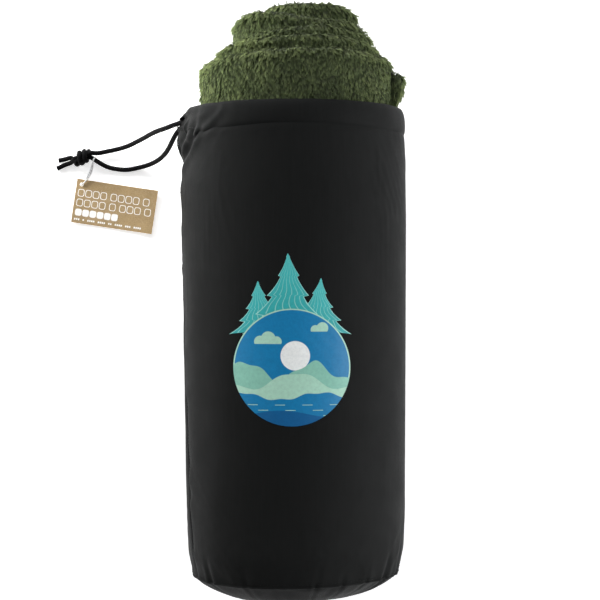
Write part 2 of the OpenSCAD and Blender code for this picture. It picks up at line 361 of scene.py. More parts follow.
def sees_air(mid, normal, tree):
    """Which faces of the throw, with these middles and normals, can be seen at all."""
    seen = np.zeros(len(mid), bool)
    axis = xyz(mid[:, 0], 0, mid[:, 2] - ROLL_Z)
    radial = unit(axis)
    outer = np.linalg.norm(axis, axis=-1) > AIR_OUT
    ends = (mid[:, 1] > AIR_ENDS[1]) | (mid[:, 1] < AIR_ENDS[0])
    # shares of the normal, of the way to the near end and of the way out from the axis
    tilt = [(1, 0, 0), (0.5, 0.7, 0), (0.45, -0.7, 0), (0.5, 0, 0.7)]
    for i in np.flatnonzero(outer | ends):
        n, r = normal[i], radial[i]
        start = Vector(mid[i] + n * 0.0012)
        for a, b, c in tilt:
            d = a * n + b * np.array([0, np.sign(mid[i, 1]), 0]) + c * r
            if tree.ray_cast(start, Vector(d).normalized(), AIR_RAY)[0] is None:
                seen[i] = True
                break
    return seen


def shaded_crease_depth(root, n, out, tree):
    """How deep each root lies in the crease between two turns, from 0 to 1, which sets how much painted shade
    its tuft gets.
    """
    down = unit(0.62 * out + np.array([0, -1.0, 0]))
    deep = np.zeros(len(root))
    for i in np.flatnonzero(root[:, 1] > CREASE_FROM):
        hit = tree.ray_cast(Vector(root[i] + n[i] * 0.0008), Vector(down[i]), CREASE_RAY)[3]
        deep[i] = 0 if hit is None else 1 - hit / CREASE_RAY
    return deep


def hair_curves(pos, tone, parent):
    """The hairs as one curves object, from points by tuft, hair and step, and each tuft's tone, painted shade
    and painted highlight included.
    """
    tufts, hairs = pos.shape[:2]
    curves = bpy.data.hair_curves.new("pile")
    curves.add_curves([HAIR_POINTS] * (tufts * hairs))
    curves.attributes["position"].data.foreach_set("vector", pos.reshape(-1))
    taper = np.tile(np.array([1.0, 1.0, 0.85, 0.6, 0.22], np.float32) * HAIR_THICK / 2, tufts * hairs)
    radius = curves.attributes.get("radius") or curves.attributes.new("radius", "FLOAT", "POINT")
    radius.data.foreach_set("value", taper)
    tones = curves.attributes.new("tone", "FLOAT", "CURVE")
    tones.data.foreach_set("value", np.repeat(tone, hairs).astype(np.float32))
    o = bpy.data.objects.new("pile", curves)
    bpy.context.scene.collection.objects.link(o)
    o.parent = parent
    return o


def make_pile(throw, edge, tufts):
    """The pile as hair curves on every part of the throw that can be seen. They ride with it."""
    me = throw.data
    v = points_of(me)
    f = np.empty(len(me.polygons) * 4, np.int32)
    me.polygons.foreach_get("vertices", f)
    f = f.reshape(-1, 4)
    rng = np.random.default_rng(PILE_SEED)
    quad = v[f]
    cross = np.cross(quad[:, 2] - quad[:, 0], quad[:, 3] - quad[:, 1])
    area = np.linalg.norm(cross, axis=-1) / 2
    normal = unit(cross)
    tree = BVHTree.FromPolygons(v.tolist(), f.tolist())
    mid = quad.mean(1)
    # tufts stand closest on the folds above the mouth and on the cut edge
    crowd = 1 + 1.8 * np.clip(normal[:, 1], 0, 1) * (mid[:, 1] > 0.15) + 5 * edge
    chance = area * (sees_air(mid, normal, tree) | edge) * crowd
    pick = rng.choice(len(f), tufts, p=chance / chance.sum())
    a, b = rng.random((2, tufts, 1))
    q = quad[pick]
    root = (q[:, 0] * (1 - a) + q[:, 1] * a) * (1 - b) + (q[:, 3] * (1 - a) + q[:, 2] * a) * b
    n, out = normal[pick], unit(xyz(root[:, 0], 0, root[:, 2] - ROLL_Z))
    nap = lie(root, n, out)
    side = np.cross(n, nap)
    # each tuft leans its own way, and its hairs come together at the tip
    sway = 0.25 * rng.standard_normal((tufts, 1))
    nap_t = unit(nap + sway * side)
    over = np.clip(n[:, 1:2], 0, 1)
    under = ease(-n[:, 1:2] * 2)
    # on the folds some tufts hang over and some stand up in a fringe; here and there one strays
    stray = rng.random((tufts, 1)) < 0.07
    proud = rng.random((tufts, 1)) ** 1.4
    stand = (0.50 + 0.22 * rng.random((tufts, 1)) + 0.42 * over * proud + 0.22 * stray) * (1 - 0.85 * under)
    droop = unit(out * 0.45 + np.array([0, -1.0, 0])) * over * 0.95 * (1 - 0.9 * proud)
    long_t = HAIR_LONG * (0.78 + 0.40 * rng.random((tufts, 1))) * (1 + 0.22 * stray)
    long_t *= (1 + 0.15 * lattice(root, 11 * MM, 24))[:, None]
    # inside the pouch the cloth presses it flat
    pressed = 1 - ease((root[:, 1:2] - PRESSED_TO) / PRESSED_OVER)
    stand *= 1 - 0.45 * pressed
    long_t *= (1 - 0.35 * under) * (1 - 0.12 * pressed)
    # painted shade: tufts down in the creases between one turn and the next are darkened
    deep = shaded_crease_depth(root, n, out, tree)
    # painted highlight: tufts on the fold tops, which face the mouth, are made lighter
    tone = (0.5 + 0.20 * rng.standard_normal(tufts) + 0.28 * lattice(root, 9 * MM, 25)
            + 0.30 * over[:, 0]) * (1 - 0.9 * deep)
    tone = tone.clip(0, 1)
    steps = np.linspace(0, 1, HAIR_POINTS)
    pos = np.empty((tufts, HAIRS, HAIR_POINTS, 3), np.float32)
    for h in range(HAIRS):
        ang = 2 * math.pi * rng.random((tufts, 1))
        rad = TUFT_R * np.sqrt(rng.random((tufts, 1)))
        off = rad * (np.cos(ang) * nap_t + np.sin(ang) * side)
        ln = long_t * (0.72 + 0.42 * rng.random((tufts, 1)))
        bend = 0.22 * rng.standard_normal((tufts, 1))
        for k, t in enumerate(steps):
            up = stand * (t - 0.42 * t * t)
            fwd = 0.80 * t ** 1.25
            pos[:, h, k] = (root - n * 0.5 * MM + off * (1 - 0.66 * t ** 0.8)
                            + ln * (up * n + fwd * (1 - 0.4 * over) * nap_t + t * t * droop
                                    + bend * t * t * 0.5 * side))
    return hair_curves(pos, tone, throw)


def make_hem(face, other):
    """The thread overcast along the throw's loose end, round and round its cut edge."""
    near, back = (face[0] + other[0]) / 2, (face[1] + other[1]) / 2
    s = distances(near)
    pitch, per = 1.7 * MM, 10
    at = np.arange(0, s[-1], pitch / per)
    mid, thick = along_line(near, s, at), along_line(unit(face[0] - other[0]), s, at)
    half = np.interp(at, s, np.linalg.norm(face[0] - other[0], axis=1) / 2)
    off = along_line(unit(near - back), s, at)
    a = 2 * math.pi * at / pitch
    line = (mid + ((half + 0.45 * MM) * np.cos(a))[:, None] * thick
            + (-1.0 * MM + 1.9 * MM * np.sin(a))[:, None] * off)
    return tube("hem_thread", line, 0.26 * MM, 5)


# ---------------------------------------------------------------- materials

class Shader:
    """One material's nodes, with short ways to add and join them."""

    def __init__(self, name):
        """A new material of this name with nothing but its output node."""
        self.material = bpy.data.materials.new(name)
        self.material.use_nodes = True
        self.tree = self.material.node_tree
        self.tree.nodes.clear()
        self.out = self.tree.nodes.new("ShaderNodeOutputMaterial")

    def add(self, kind, **sets):
        """A node with its settings and inputs; _0 stands for its first input, and so on."""
        node = self.tree.nodes.new("ShaderNode" + kind)
        for key, value in sets.items():
            if hasattr(node, key) and key not in node.inputs:
                setattr(node, key, value)
            else:
                self.feed(node.inputs[int(key[1:]) if key[0] == "_" else key], value)
        return node

    def feed(self, socket, value):
        """Joins a socket or node to an input, or gives the input a number or colour."""
        if isinstance(value, bpy.types.NodeSocket):
            self.tree.links.new(value, socket)
        elif isinstance(value, bpy.types.Node):
            self.tree.links.new(value.outputs[0], socket)
        elif socket.type == "RGBA" and len(value) == 3:
            socket.default_value = (*value, 1)
        else:
            socket.default_value = value

    def math(self, op, a, b=0.0, c=0.0):
        """One sum of up to three values."""
        return self.add("Math", operation=op, _0=a, _1=b, _2=c).outputs[0]

    def mix(self, factor, a, b, blend="MIX"):
        """Colour a, with b over it by factor."""
        return self.add("MixRGB", blend_type=blend, _0=factor, _1=a, _2=b).outputs[0]

    def noise(self, scale, detail=3.0, rough=0.5, stretch=(1, 1, 1)):
        """Noise over the piece's own space, with scale lumps to the metre times stretch each way."""
        place = self.add("Mapping", Vector=self.add("TexCoord").outputs["Object"], Scale=stretch)
        return self.add("TexNoise", Vector=place, Scale=scale, Detail=detail, Roughness=rough).outputs[0]

    def mottled(self, colour, value, *stops):
        """The colour times a ramp of value."""
        return self.mix(1.0, colour, self.ramp(value, *stops), "MULTIPLY")

    def ramp(self, value, *stops):
        """Values from 0 to 1 through (place, colour) stops."""
        node = self.add("ValToRGB", _0=value)
        elements = node.color_ramp.elements
        while len(elements) < len(stops):
            elements.new(0.5)
        for element, (place, colour) in zip(elements, stops):
            element.position = place
            element.color = (*colour, 1) if len(colour) == 3 else colour
        return node.outputs[0]

    def spread(self, value, low, high, to_low=0.0, to_high=1.0):
        """The value, taken from low..high to to_low..to_high."""
        return self.add("MapRange", _0=value, _1=low, _2=high, _3=to_low, _4=to_high).outputs[0]

    def uv(self):
        """The two numbers of the piece's UV."""
        split = self.add("SeparateXYZ", _0=self.add("TexCoord").outputs["UV"])
        return split.outputs[0], split.outputs[1]

    def bump(self, height, distance, strength=1.0, normal=None):
        """A normal bent by height, over another normal where one is given."""
        under = {"Normal": normal} if normal is not None else {}
        return self.add("Bump", Strength=strength, Distance=distance, Height=height, **under).outputs[0]

    def surface(self, **inputs):
        """The material with a principled surface of these inputs, whose names have _ for a space."""
        node = self.add("BsdfPrincipled")
        for key, value in inputs.items():
            self.feed(node.inputs[key.replace("_", " ")], value)
        self.tree.links.new(node.outputs[0], self.out.inputs["Surface"])
        return self.material


GREEN = np.array([0.121, 0.155, 0.074])


def pile_material():
    """The hairs: painted shade darkens them towards the root, down in the pile, and they are paler at the
    tip; each tuft has its own tone, with painted shade in the creases and painted highlight on the fold tops.
    """
    s = Shader("plush_pile")
    info = s.add("HairInfo")
    patch = s.noise(38, stretch=(1, 0.45, 1))
    # each tuft's tone, with its painted shade in the creases and painted highlight on the fold tops
    tuft = s.add("Attribute", attribute_name="tone").outputs["Fac"]
    # painted shade: the hairs darken towards the root, where the pile shades them, and lighten towards the
    # tip, where the light falls
    root = s.ramp(info.outputs["Intercept"], (0.0, GREEN * 0.10), (0.40, GREEN * 0.48), (1.0, GREEN * 1.55))
    root = s.mottled(root, tuft, (0.0, (0.38, 0.40, 0.38)), (0.22, (0.73, 0.75, 0.73)),
                     (0.5, (1.0, 1.0, 1.0)), (1.0, (1.42, 1.38, 1.34)))
    colour = s.mottled(root, info.outputs["Random"], (0.0, (0.70, 0.73, 0.68)), (0.5, (1.0, 1.0, 1.0)),
                       (0.93, (1.24, 1.20, 1.12)), (1.0, (1.55, 1.45, 1.42)))
    colour = s.mottled(colour, patch, (0.25, (0.72, 0.76, 0.70)), (0.75, (1.26, 1.22, 1.2)))
    s.surface(Base_Color=colour, Roughness=0.62, Specular_IOR_Level=0.35,
              Sheen_Weight=0.35, Sheen_Roughness=0.5, Sheen_Tint=(0.85, 0.9, 0.75))
    # light comes through the thin fibres, most of all at the edges of the roll
    through = s.add("BsdfTranslucent", Color=s.mix(1.0, colour, (2.6, 2.5, 2.4), "MULTIPLY"))
    both = s.add("MixShader", Fac=0.42)
    s.tree.links.new(s.out.inputs["Surface"].links[0].from_socket, both.inputs[1])
    s.tree.links.new(through.outputs[0], both.inputs[2])
    s.tree.links.new(both.outputs[0], s.out.inputs["Surface"])
    return s.material


def plush_material():
    """The cloth under the hairs."""
    s = Shader("plush")
    streak = s.noise(1, 4, 0.6, stretch=(260, 75, 260))
    lumps = s.noise(45, 3)
    colour = s.ramp(streak, (0.30, GREEN * 0.16), (0.48, GREEN * 0.42), (0.72, GREEN * 0.85))
    colour = s.mottled(colour, lumps, (0.25, (0.75, 0.78, 0.74)), (0.75, (1.2, 1.18, 1.12)))
    return s.surface(Base_Color=colour, Roughness=0.95, Specular_IOR_Level=0.1,
                     Sheen_Weight=0.12, Sheen_Roughness=0.45, Sheen_Tint=(0.6, 0.75, 0.45),
                     Normal=s.bump(streak, 1.2 * MM, 0.9))


def uv_waves(s, across, along):
    """Two wave textures of the piece's UV in metres, so many to the metre, multiplied."""
    waves = [s.math("SINE", s.math("MULTIPLY", place, 2 * math.pi * many))
             for place, many in zip(s.uv(), (across, along))]
    return s.math("MULTIPLY", *waves)


def polyester_material():
    """Black woven cloth, slightly crushed, with a few specks of lint."""
    s = Shader("polyester")
    weave = uv_waves(s, 1500, 1500)
    slub = s.noise(1, 2, stretch=(900, 40, 900))
    crush = s.noise(55, 5, 0.6)
    broad = s.noise(9, 2)
    lint = s.spread(s.noise(1500, 1), 0.80, 0.84)
    base = s.ramp(broad, (0.3, (0.0080, 0.0087, 0.0085)), (0.7, (0.0104, 0.0111, 0.0109)))
    base = s.mix(s.spread(weave, -1, 1, 0.0, 0.5), base, (0.0125, 0.0130, 0.0130))
    base = s.mix(s.spread(slub, 0.35, 0.7, 0.0, 0.35), base, (0.0135, 0.0137, 0.0140))
    base = s.mix(s.math("MULTIPLY", lint, 0.20), base, (0.06, 0.06, 0.058))
    rough = s.spread(crush, 0.3, 0.7, 0.50, 0.62)
    normal = s.bump(crush, 0.5 * MM, 0.22)
    normal = s.bump(weave, 0.05 * MM, 0.5, normal)
    return s.surface(Base_Color=base, Roughness=rough, Specular_IOR_Level=0.05, Sheen_Weight=0.015,
                     Sheen_Roughness=0.35, Sheen_Tint=(0.9, 0.93, 0.95), Normal=normal)


def thread_material(name, low, high):
    """Twisted thread between two tones."""
    s = Shader(name)
    twist = s.noise(1, 2, stretch=(2600, 2600, 2600))
    tone = s.noise(160, 2)
    colour = s.mix(s.spread(twist, 0.3, 0.7), low, high)
    colour = s.mottled(colour, tone, (0.3, (0.8, 0.8, 0.8)), (0.7, (1.2, 1.2, 1.2)))
    return s.surface(Base_Color=colour, Roughness=0.6, Specular_IOR_Level=0.12, Sheen_Weight=0.03,
                     Normal=s.bump(twist, 0.1 * MM, 0.7))


def braid_material():
    """The black braid of the drawcord."""
    s = Shader("braid")
    fibre = s.noise(1, 3, 0.6, stretch=(2400, 2400, 2400))
    tone = s.noise(120, 3)
    colour = s.mix(s.spread(fibre, 0.35, 0.7), (0.0022, 0.0022, 0.0026), (0.0085, 0.0085, 0.0090))
    colour = s.mottled(colour, tone, (0.3, (0.75, 0.75, 0.75)), (0.75, (1.3, 1.3, 1.3)))
    normal = s.bump(uv_waves(s, 24, 3400), 0.06 * MM, 0.5)
    return s.surface(Base_Color=colour, Roughness=0.62, Specular_IOR_Level=0.07, Sheen_Weight=0.015,
                     Sheen_Roughness=0.4, Normal=s.bump(fibre, 0.12 * MM, 0.6, normal))


def clear_material():
    """Slightly hazy clear plastic."""
    s = Shader("clear_loop")
    haze = s.noise(900, 2)
    colour = s.ramp(haze, (0.3, (0.80, 0.81, 0.82)), (0.7, (0.90, 0.90, 0.91)))
    return s.surface(Base_Color=colour, Roughness=s.spread(haze, 0.3, 0.7, 0.18, 0.34), IOR=1.42,
                     Transmission_Weight=0.25, Normal=s.bump(haze, 0.05 * MM, 0.3))


def kraft_material():
    """Brown card with pale and dark fibres in it."""
    s = Shader("kraft_card")
    fibres = s.noise(1, 5, 0.65, stretch=(700, 2200, 900))
    cloud = s.noise(110, 4, 0.6)
    fleck = s.spread(s.noise(1, 2, stretch=(520, 1700, 900)), 0.66, 0.72)
    pale = s.spread(s.noise(1, 2, stretch=(1500, 420, 900)), 0.67, 0.72)
    colour = s.ramp(fibres, (0.28, (0.315, 0.215, 0.105)), (0.5, (0.410, 0.297, 0.160)),
                    (0.75, (0.500, 0.378, 0.222)))
    colour = s.mottled(colour, cloud, (0.3, (0.9, 0.89, 0.87)), (0.7, (1.08, 1.08, 1.07)))
    colour = s.mix(s.math("MULTIPLY", fleck, 0.5), colour, (0.20, 0.115, 0.05))
    colour = s.mix(s.math("MULTIPLY", pale, 0.4), colour, (0.74, 0.60, 0.41))
    return s.surface(Base_Color=colour, Roughness=0.85, Specular_IOR_Level=0.25,
                     Normal=s.bump(fibres, 0.06 * MM, 0.7))


def white_ink_material():
    """White ink, a little worn, so the card shows through."""
    s = Shader("white_ink")
    worn = s.noise(1, 4, 0.7, stretch=(900, 2300, 900))
    colour = s.ramp(worn, (0.28, (0.74, 0.67, 0.55)), (0.38, (0.95, 0.94, 0.91)), (0.7, (1.0, 1.0, 0.99)))
    return s.surface(Base_Color=colour, Roughness=0.6, Normal=s.bump(worn, 0.04 * MM, 0.5))


def printed(s, colour, worn):
    """The surface of a print, a little worn."""
    return s.surface(Base_Color=colour, Roughness=s.spread(worn, 0.3, 0.7, 0.5, 0.36), Specular_IOR_Level=0.4,
                     Normal=s.bump(worn, 0.08 * MM, 0.25))


def pine_material():
    """Teal pines with thin pale lines running up them."""
    s = Shader("print_teal")
    u, v = s.uv()
    sway = s.math("MULTIPLY", s.math("SINE", s.math("MULTIPLY", v, 21.0)), 0.030)
    lines = s.math("PINGPONG", s.math("MULTIPLY", s.math("ADD", u, sway), 7.0), 0.5)
    vein = s.spread(lines, 0.045, 0.085, 1.0, 0.0)
    edge = s.math("ABSOLUTE", s.math("SUBTRACT", u, 0.5))
    rim = s.spread(edge, 0.470, 0.480)
    inside = s.math("MAXIMUM", s.math("MULTIPLY", vein, 0.75), rim)
    worn = s.noise(420, 4, 0.7)
    teal = s.mix(s.spread(v, 0.1, 0.9), (0.030, 0.385, 0.400), (0.060, 0.520, 0.520))
    teal = s.mottled(teal, worn, (0.28, (0.86, 0.88, 0.88)), (0.6, (1.03, 1.03, 1.03)))
    colour = s.mix(inside, teal, (0.36, 0.73, 0.66))
    return printed(s, colour, worn)


def disc_material():
    """A blue sky with a round white sun over pale green hills and a lake."""
    s = Shader("print_disc")
    u, v = s.uv()

    def below(level, tall, many, shift, tall2=0.0, many2=0.0, shift2=0.0):
        """1 below a line that two waves make, and 0 above it."""
        wave = s.math("MULTIPLY", s.math("SINE", s.math("MULTIPLY_ADD", u, many, shift)), tall)
        more = s.math("MULTIPLY", s.math("SINE", s.math("MULTIPLY_ADD", u, many2, shift2)), tall2)
        top = s.math("ADD", s.math("ADD", wave, more), level)
        return s.spread(s.math("SUBTRACT", top, v), -0.0015, 0.0015)

    def ring(cx, cy, r, soft=0.0015):
        """1 inside a circle, and 0 outside it."""
        du, dv = s.math("SUBTRACT", u, cx), s.math("SUBTRACT", v, cy)
        d = s.math("SQRT", s.math("ADD", s.math("MULTIPLY", du, du), s.math("MULTIPLY", dv, dv)))
        return s.spread(s.math("SUBTRACT", r, d), -soft, soft)

    blue, deep, pale, mint, white = ((0.0035, 0.200, 0.440), (0.0020, 0.110, 0.300), (0.420, 0.700, 0.560),
                                     (0.255, 0.560, 0.450), (0.93, 0.95, 0.94))
    colour = s.mix(ring(0.5, 0.5, 0.489), pale, blue)
    # each cloud is a few round puffs, cut off flat underneath
    left = s.math("MAXIMUM", ring(0.23, 0.72, 0.050), ring(0.30, 0.745, 0.062))
    left = s.math("MAXIMUM", left, ring(0.37, 0.72, 0.045))
    left = s.math("MULTIPLY", left, s.spread(v, 0.699, 0.701))
    right = s.math("MAXIMUM", ring(0.70, 0.82, 0.040), ring(0.76, 0.835, 0.050))
    right = s.math("MULTIPLY", right, s.spread(v, 0.804, 0.806))
    colour = s.mix(ring(0.53, 0.60, 0.125), colour, white)
    colour = s.mix(s.math("MAXIMUM", left, right), colour, pale)
    colour = s.mix(below(0.47, 0.075, 11.0, 0.4, 0.02, 27.0, 1.0), colour, mint)
    colour = s.mix(below(0.385, 0.070, 8.0, 3.6, 0.012, 21.0, 0.0), colour, pale)
    colour = s.mix(below(0.255, 0.030, 9.0, 1.2, 0.008, 30.0, 2.0), colour, blue)
    lake = s.math("PINGPONG", s.math("MULTIPLY", v, 22.0), 0.5)
    row = s.math("MULTIPLY", s.math("FLOOR", s.math("MULTIPLY_ADD", v, 22.0, 0.5)), 2.4)
    glint = s.math("MULTIPLY", s.spread(lake, 0.05, 0.08, 1.0, 0.0),
                   s.spread(s.math("SINE", s.math("ADD", s.math("MULTIPLY", u, 27.0), row)), 0.35, 0.45))
    glint = s.math("MULTIPLY", glint, s.math("MULTIPLY", s.spread(v, 0.215, 0.205), 0.9))
    colour = s.mix(glint, colour, pale)
    colour = s.mix(below(0.105, 0.030, 7.0, 5.0, 0.0, 0.0, 0.0), colour, deep)
    worn = s.noise(420, 4, 0.7)
    colour = s.mottled(colour, worn, (0.28, (0.88, 0.89, 0.90)), (0.6, (1.03, 1.03, 1.03)))
    return printed(s, colour, worn)


# ---------------------------------------------------------------- camera, light and floor

# The camera looks straight down, and sees this far to each side at this distance.
CAMERA_AT = (0.0042, 0, 1.286)
SEEN_HALF, SEEN_FROM = 0.225, 1.21
FLOOR_HALF, FLOOR_Z = 6.0, -0.3 * MM
WARM, COOL, WHITE = (1, 0.99, 0.97), (0.98, 0.99, 1), (1, 1, 1)
# Each soft lamp: its place, what it faces, its width and height in metres, its watts and tone, and
# whether its reflection is seen.
LAMPS = [("left", (-1.7, 0.35, 0.42), (0, 0, 0.08), 0.6, 1.7, 11, WARM, True),
         ("right", (1.5, -0.15, 0.60), (0, 0, 0.08), 0.6, 1.7, 19, COOL, True),
         ("head", (-0.3, 1.6, 1.2), (0, 0, 0.05), 1.2, 0.7, 18, WHITE, True),
         ("kick", (-0.33, 0.30, 0.11), (-0.07, 0.18, 0.085), 0.12, 0.12, 2.0, WARM, False),
         ("foot", (1.1, -1.5, 0.7), (0, 0, 0.05), 1.0, 0.6, 6, WHITE, True)]


def softbox(name, place, aim, w, h, power, tone, glossy):
    """A lamp w by h metres that the camera doesn't see."""
    light = bpy.data.lights.new(name, "AREA")
    light.shape, light.size, light.size_y = "RECTANGLE", w, h
    light.energy, light.color = power, tone
    lamp = bpy.data.objects.new(name, light)
    lamp.location = place
    lamp.visible_camera, lamp.visible_glossy = False, glossy
    lamp.rotation_euler = (Vector(aim) - Vector(place)).to_track_quat("-Z", "Y").to_euler()
    bpy.context.scene.collection.objects.link(lamp)


def make_studio():
    """The camera, the white floor, the room's light and the soft lamps."""
    cam = bpy.data.cameras.new("camera")
    cam.sensor_width = 36
    cam.angle = 2 * math.atan(SEEN_HALF / SEEN_FROM)
    cam.clip_start, cam.clip_end = 0.05, 20
    o = bpy.data.objects.new("camera", cam)
    o.location = CAMERA_AT
    bpy.context.scene.collection.objects.link(o)
    bpy.context.scene.camera = o

    s = Shader("floor")
    grain = s.noise(6, 2)
    tone = s.ramp(grain, (0.3, (0.90, 0.90, 0.905)), (0.7, (0.915, 0.915, 0.92)))
    s.surface(Base_Color=tone, Roughness=0.9, Specular_IOR_Level=0.1,
              Emission_Color=(1.0, 1.0, 1.0), Emission_Strength=0.64)
    floor = new_mesh("floor", rectangle(FLOOR_HALF, FLOOR_HALF, FLOOR_Z), [[0, 1, 2, 3]], smooth=False)
    floor.data.materials.append(s.material)

    world = bpy.data.worlds.new("studio")
    bpy.context.scene.world = world
    world.use_nodes = True
    tree = world.node_tree
    background = tree.nodes["Background"]
    # the room is bright near the horizon and dim straight overhead
    coord = tree.nodes.new("ShaderNodeTexCoord")
    split = tree.nodes.new("ShaderNodeSeparateXYZ")
    ramp = tree.nodes.new("ShaderNodeValToRGB")
    tree.links.new(coord.outputs["Generated"], split.inputs[0])
    tree.links.new(split.outputs["Z"], ramp.inputs[0])
    tree.links.new(ramp.outputs[0], background.inputs["Color"])
    ramp.color_ramp.elements[0].position, ramp.color_ramp.elements[0].color = 0.0, (1, 1, 1, 1)
    ramp.color_ramp.elements[1].position, ramp.color_ramp.elements[1].color = 0.95, (0.37, 0.37, 0.375, 1)
    background.inputs["Strength"].default_value = 0.32

    for lamp in LAMPS:
        softbox(*lamp)
    bpy.context.scene.view_settings.view_transform = "Standard"


# ---------------------------------------------------------------- lines and tubes

def spline(points, step):
    """A smooth line through points in millimetres, as points step metres apart."""
    p = np.asarray(points, float) * MM
    p = np.vstack([2 * p[0] - p[1], p, 2 * p[-1] - p[-2]])
    t = np.linspace(0, 1, 24, endpoint=False)[:, None]
    parts = [0.5 * (2 * b + (c - a) * t + (2 * a - 5 * b + 4 * c - d) * t ** 2
                    + (3 * b - a - 3 * c + d) * t ** 3)
             for a, b, c, d in zip(p, p[1:], p[2:], p[3:])]
    return resample(np.vstack(parts + [p[-2:-1]]), step)


def resample(p, step):
    """The same line with points step apart."""
    s = distances(p)
    return along_line(p, s, np.linspace(0, s[-1], max(3, round(s[-1] / step) + 1)))


def frames(p):
    """Two directions across a line at each of its points, turning as little as possible."""
    along = unit(np.gradient(p, axis=0))
    u = np.empty_like(p)
    u[0] = unit(np.cross(along[0], [0.1, 0.2, 1.0]))
    for i in range(1, len(p)):
        u[i] = unit(u[i - 1] - (u[i - 1] @ along[i]) * along[i])
    return u, np.cross(along, u)


def tube_faces(rings, sides):
    """Quads of an open tube whose points run round it ring by ring."""
    i, j = np.meshgrid(np.arange(rings - 1) * sides, np.arange(sides), indexing="ij")
    k = (j + 1) % sides
    return np.stack([i + j, i + k, i + sides + k, i + sides + j], -1).reshape(-1, 4)


def tube(name, p, radius, sides=12, relief=None):
    """A tube round line p. relief(s, a) adds to its radius at distance s along and angle a round it."""
    u, w = frames(p)
    a = np.linspace(0, 2 * math.pi, sides, endpoint=False)
    s = distances(p)
    r = np.broadcast_to(np.asarray(radius, float).reshape(-1, 1), (len(p), sides)).copy()
    if relief:
        r += relief(s[:, None], a[None, :])
    across = np.cos(a)[None, :, None] * u[:, None] + np.sin(a)[None, :, None] * w[:, None]
    points = (p[:, None] + r[..., None] * across).reshape(-1, 3)
    # a point in the middle of each end closes it
    first, last, end = len(points), len(points) + 1, (len(p) - 1) * sides
    along = unit(np.gradient(p, axis=0))
    points = np.vstack([points, p[0] + 0.15 * r[0, 0] * -along[0], p[-1] - 0.25 * r[-1, 0] * along[-1]])
    faces = tube_faces(len(p), sides).tolist()
    faces += [[first, (k + 1) % sides, k] for k in range(sides)]
    faces += [[last, end + k, end + (k + 1) % sides] for k in range(sides)]
    o = new_mesh(name, points, faces)
    # once round, and metres along
    at = np.arange(len(points))
    set_uv(o, np.stack([at % sides / sides, s[np.minimum(at // sides, len(p) - 1)]], -1))
    return o


def merged(name, parts):
    """One mesh of several (points, faces)."""
    points, faces, base = [], [], 0
    for p, f in parts:
        points.append(np.asarray(p))
        faces += (np.asarray(f) + base).tolist()
        base += len(p)
    return new_mesh(name, np.concatenate(points), faces)


# ---------------------------------------------------------------- the pouch

COLUMNS, ROWS = 192, 112
CLOTH_ROUND = 0.51
# Half widths of the filled pouch at heights along it, in millimetres: left, then right.
LEFT_EDGE = ([-204, -197, -186, -150, -112, -37, 40, 84, 101, 112, 126, 142],
             [75.5, 78, 80, 81.4, 82.2, 83.4, 84.6, 85.2, 83.0, 82.4, 82.6, 81.5])
RIGHT_EDGE = ([-204, -197, -184, -160, -100, 60, 100, 126, 142],
              [77, 79.6, 81.8, 82.8, 83.2, 84, 83.4, 82.3, 81.6])
EXIT_U, EXIT_Y = 3 * MM, 132 * MM


def around(count=COLUMNS):
    """Angles round the pouch from its side seam at the left, over the top."""
    return math.pi - 2 * math.pi * np.arange(count) / count


def from_seam(t):
    """How far round the pouch angle t is from its side seam, over the top."""
    return (math.pi - np.mod(t, 2 * math.pi)) * GIRTH_R


def gathers(t, y):
    """How far the cloth stands out where the cord bunches it, at the left of the mouth."""
    u = from_seam(t)
    du, dy = u - EXIT_U, y - EXIT_Y
    r = np.hypot(du, dy)
    ray = np.arctan2(dy, du)
    strength = (r / (11 * MM)) * np.exp(-(r / (23 * MM)) ** 2 + 0.25)
    folds = np.cos(9.0 * ray + 0.7 * np.sin(3 * ray) + r / (9 * MM)) * strength * 1.7 * MM
    rise = np.clip((y - 0.101) / (EXIT_Y - 0.101), 0, 1) * (1 - ease((y - EXIT_Y) / (11 * MM)))
    shoulder = 4.6 * MM * rise * np.exp(-(u / (15 * MM)) ** 2)
    notch = -1.3 * MM * np.exp(-(u / (13 * MM)) ** 2 - ((y - 0.0985) / (6 * MM)) ** 2)
    # loose pleats of the casing and just below it
    top = ease((y - 0.085) / (45 * MM))
    pleat = xyz(u, 0.35 * y)
    loose = lattice(pleat, 16 * MM, 31) * (0.25 + 0.75 * np.exp(-(u / (55 * MM)) ** 2))
    return folds + shoulder + notch + 0.75 * MM * top * loose


def section(t, y, inset=0.0):
    """Points of the filled pouch's surface at angle t and height y, set in by inset."""
    t, y = np.broadcast_arrays(t, y)
    left, right = (np.interp(y / MM, *e) * MM for e in (LEFT_EDGE, RIGHT_EDGE))
    share = 0.5 - 0.5 * np.cos(t)
    w = right + (left - right) * share
    shrink = 1 - 0.055 * (1 - ease((y - SEAM_Y) / (22 * MM)))
    h = HALF_H * shrink
    out = gathers(t, y) - inset
    x = (w + out) * np.cos(t)
    z = AXIS_Z + (h + out) * np.sin(t)
    floor = 0.5 * MM + np.maximum(inset, 0)
    soft = 1.2 * MM
    z = floor + soft * np.logaddexp(0, (z - floor) / soft)
    return xyz(x, y, z)


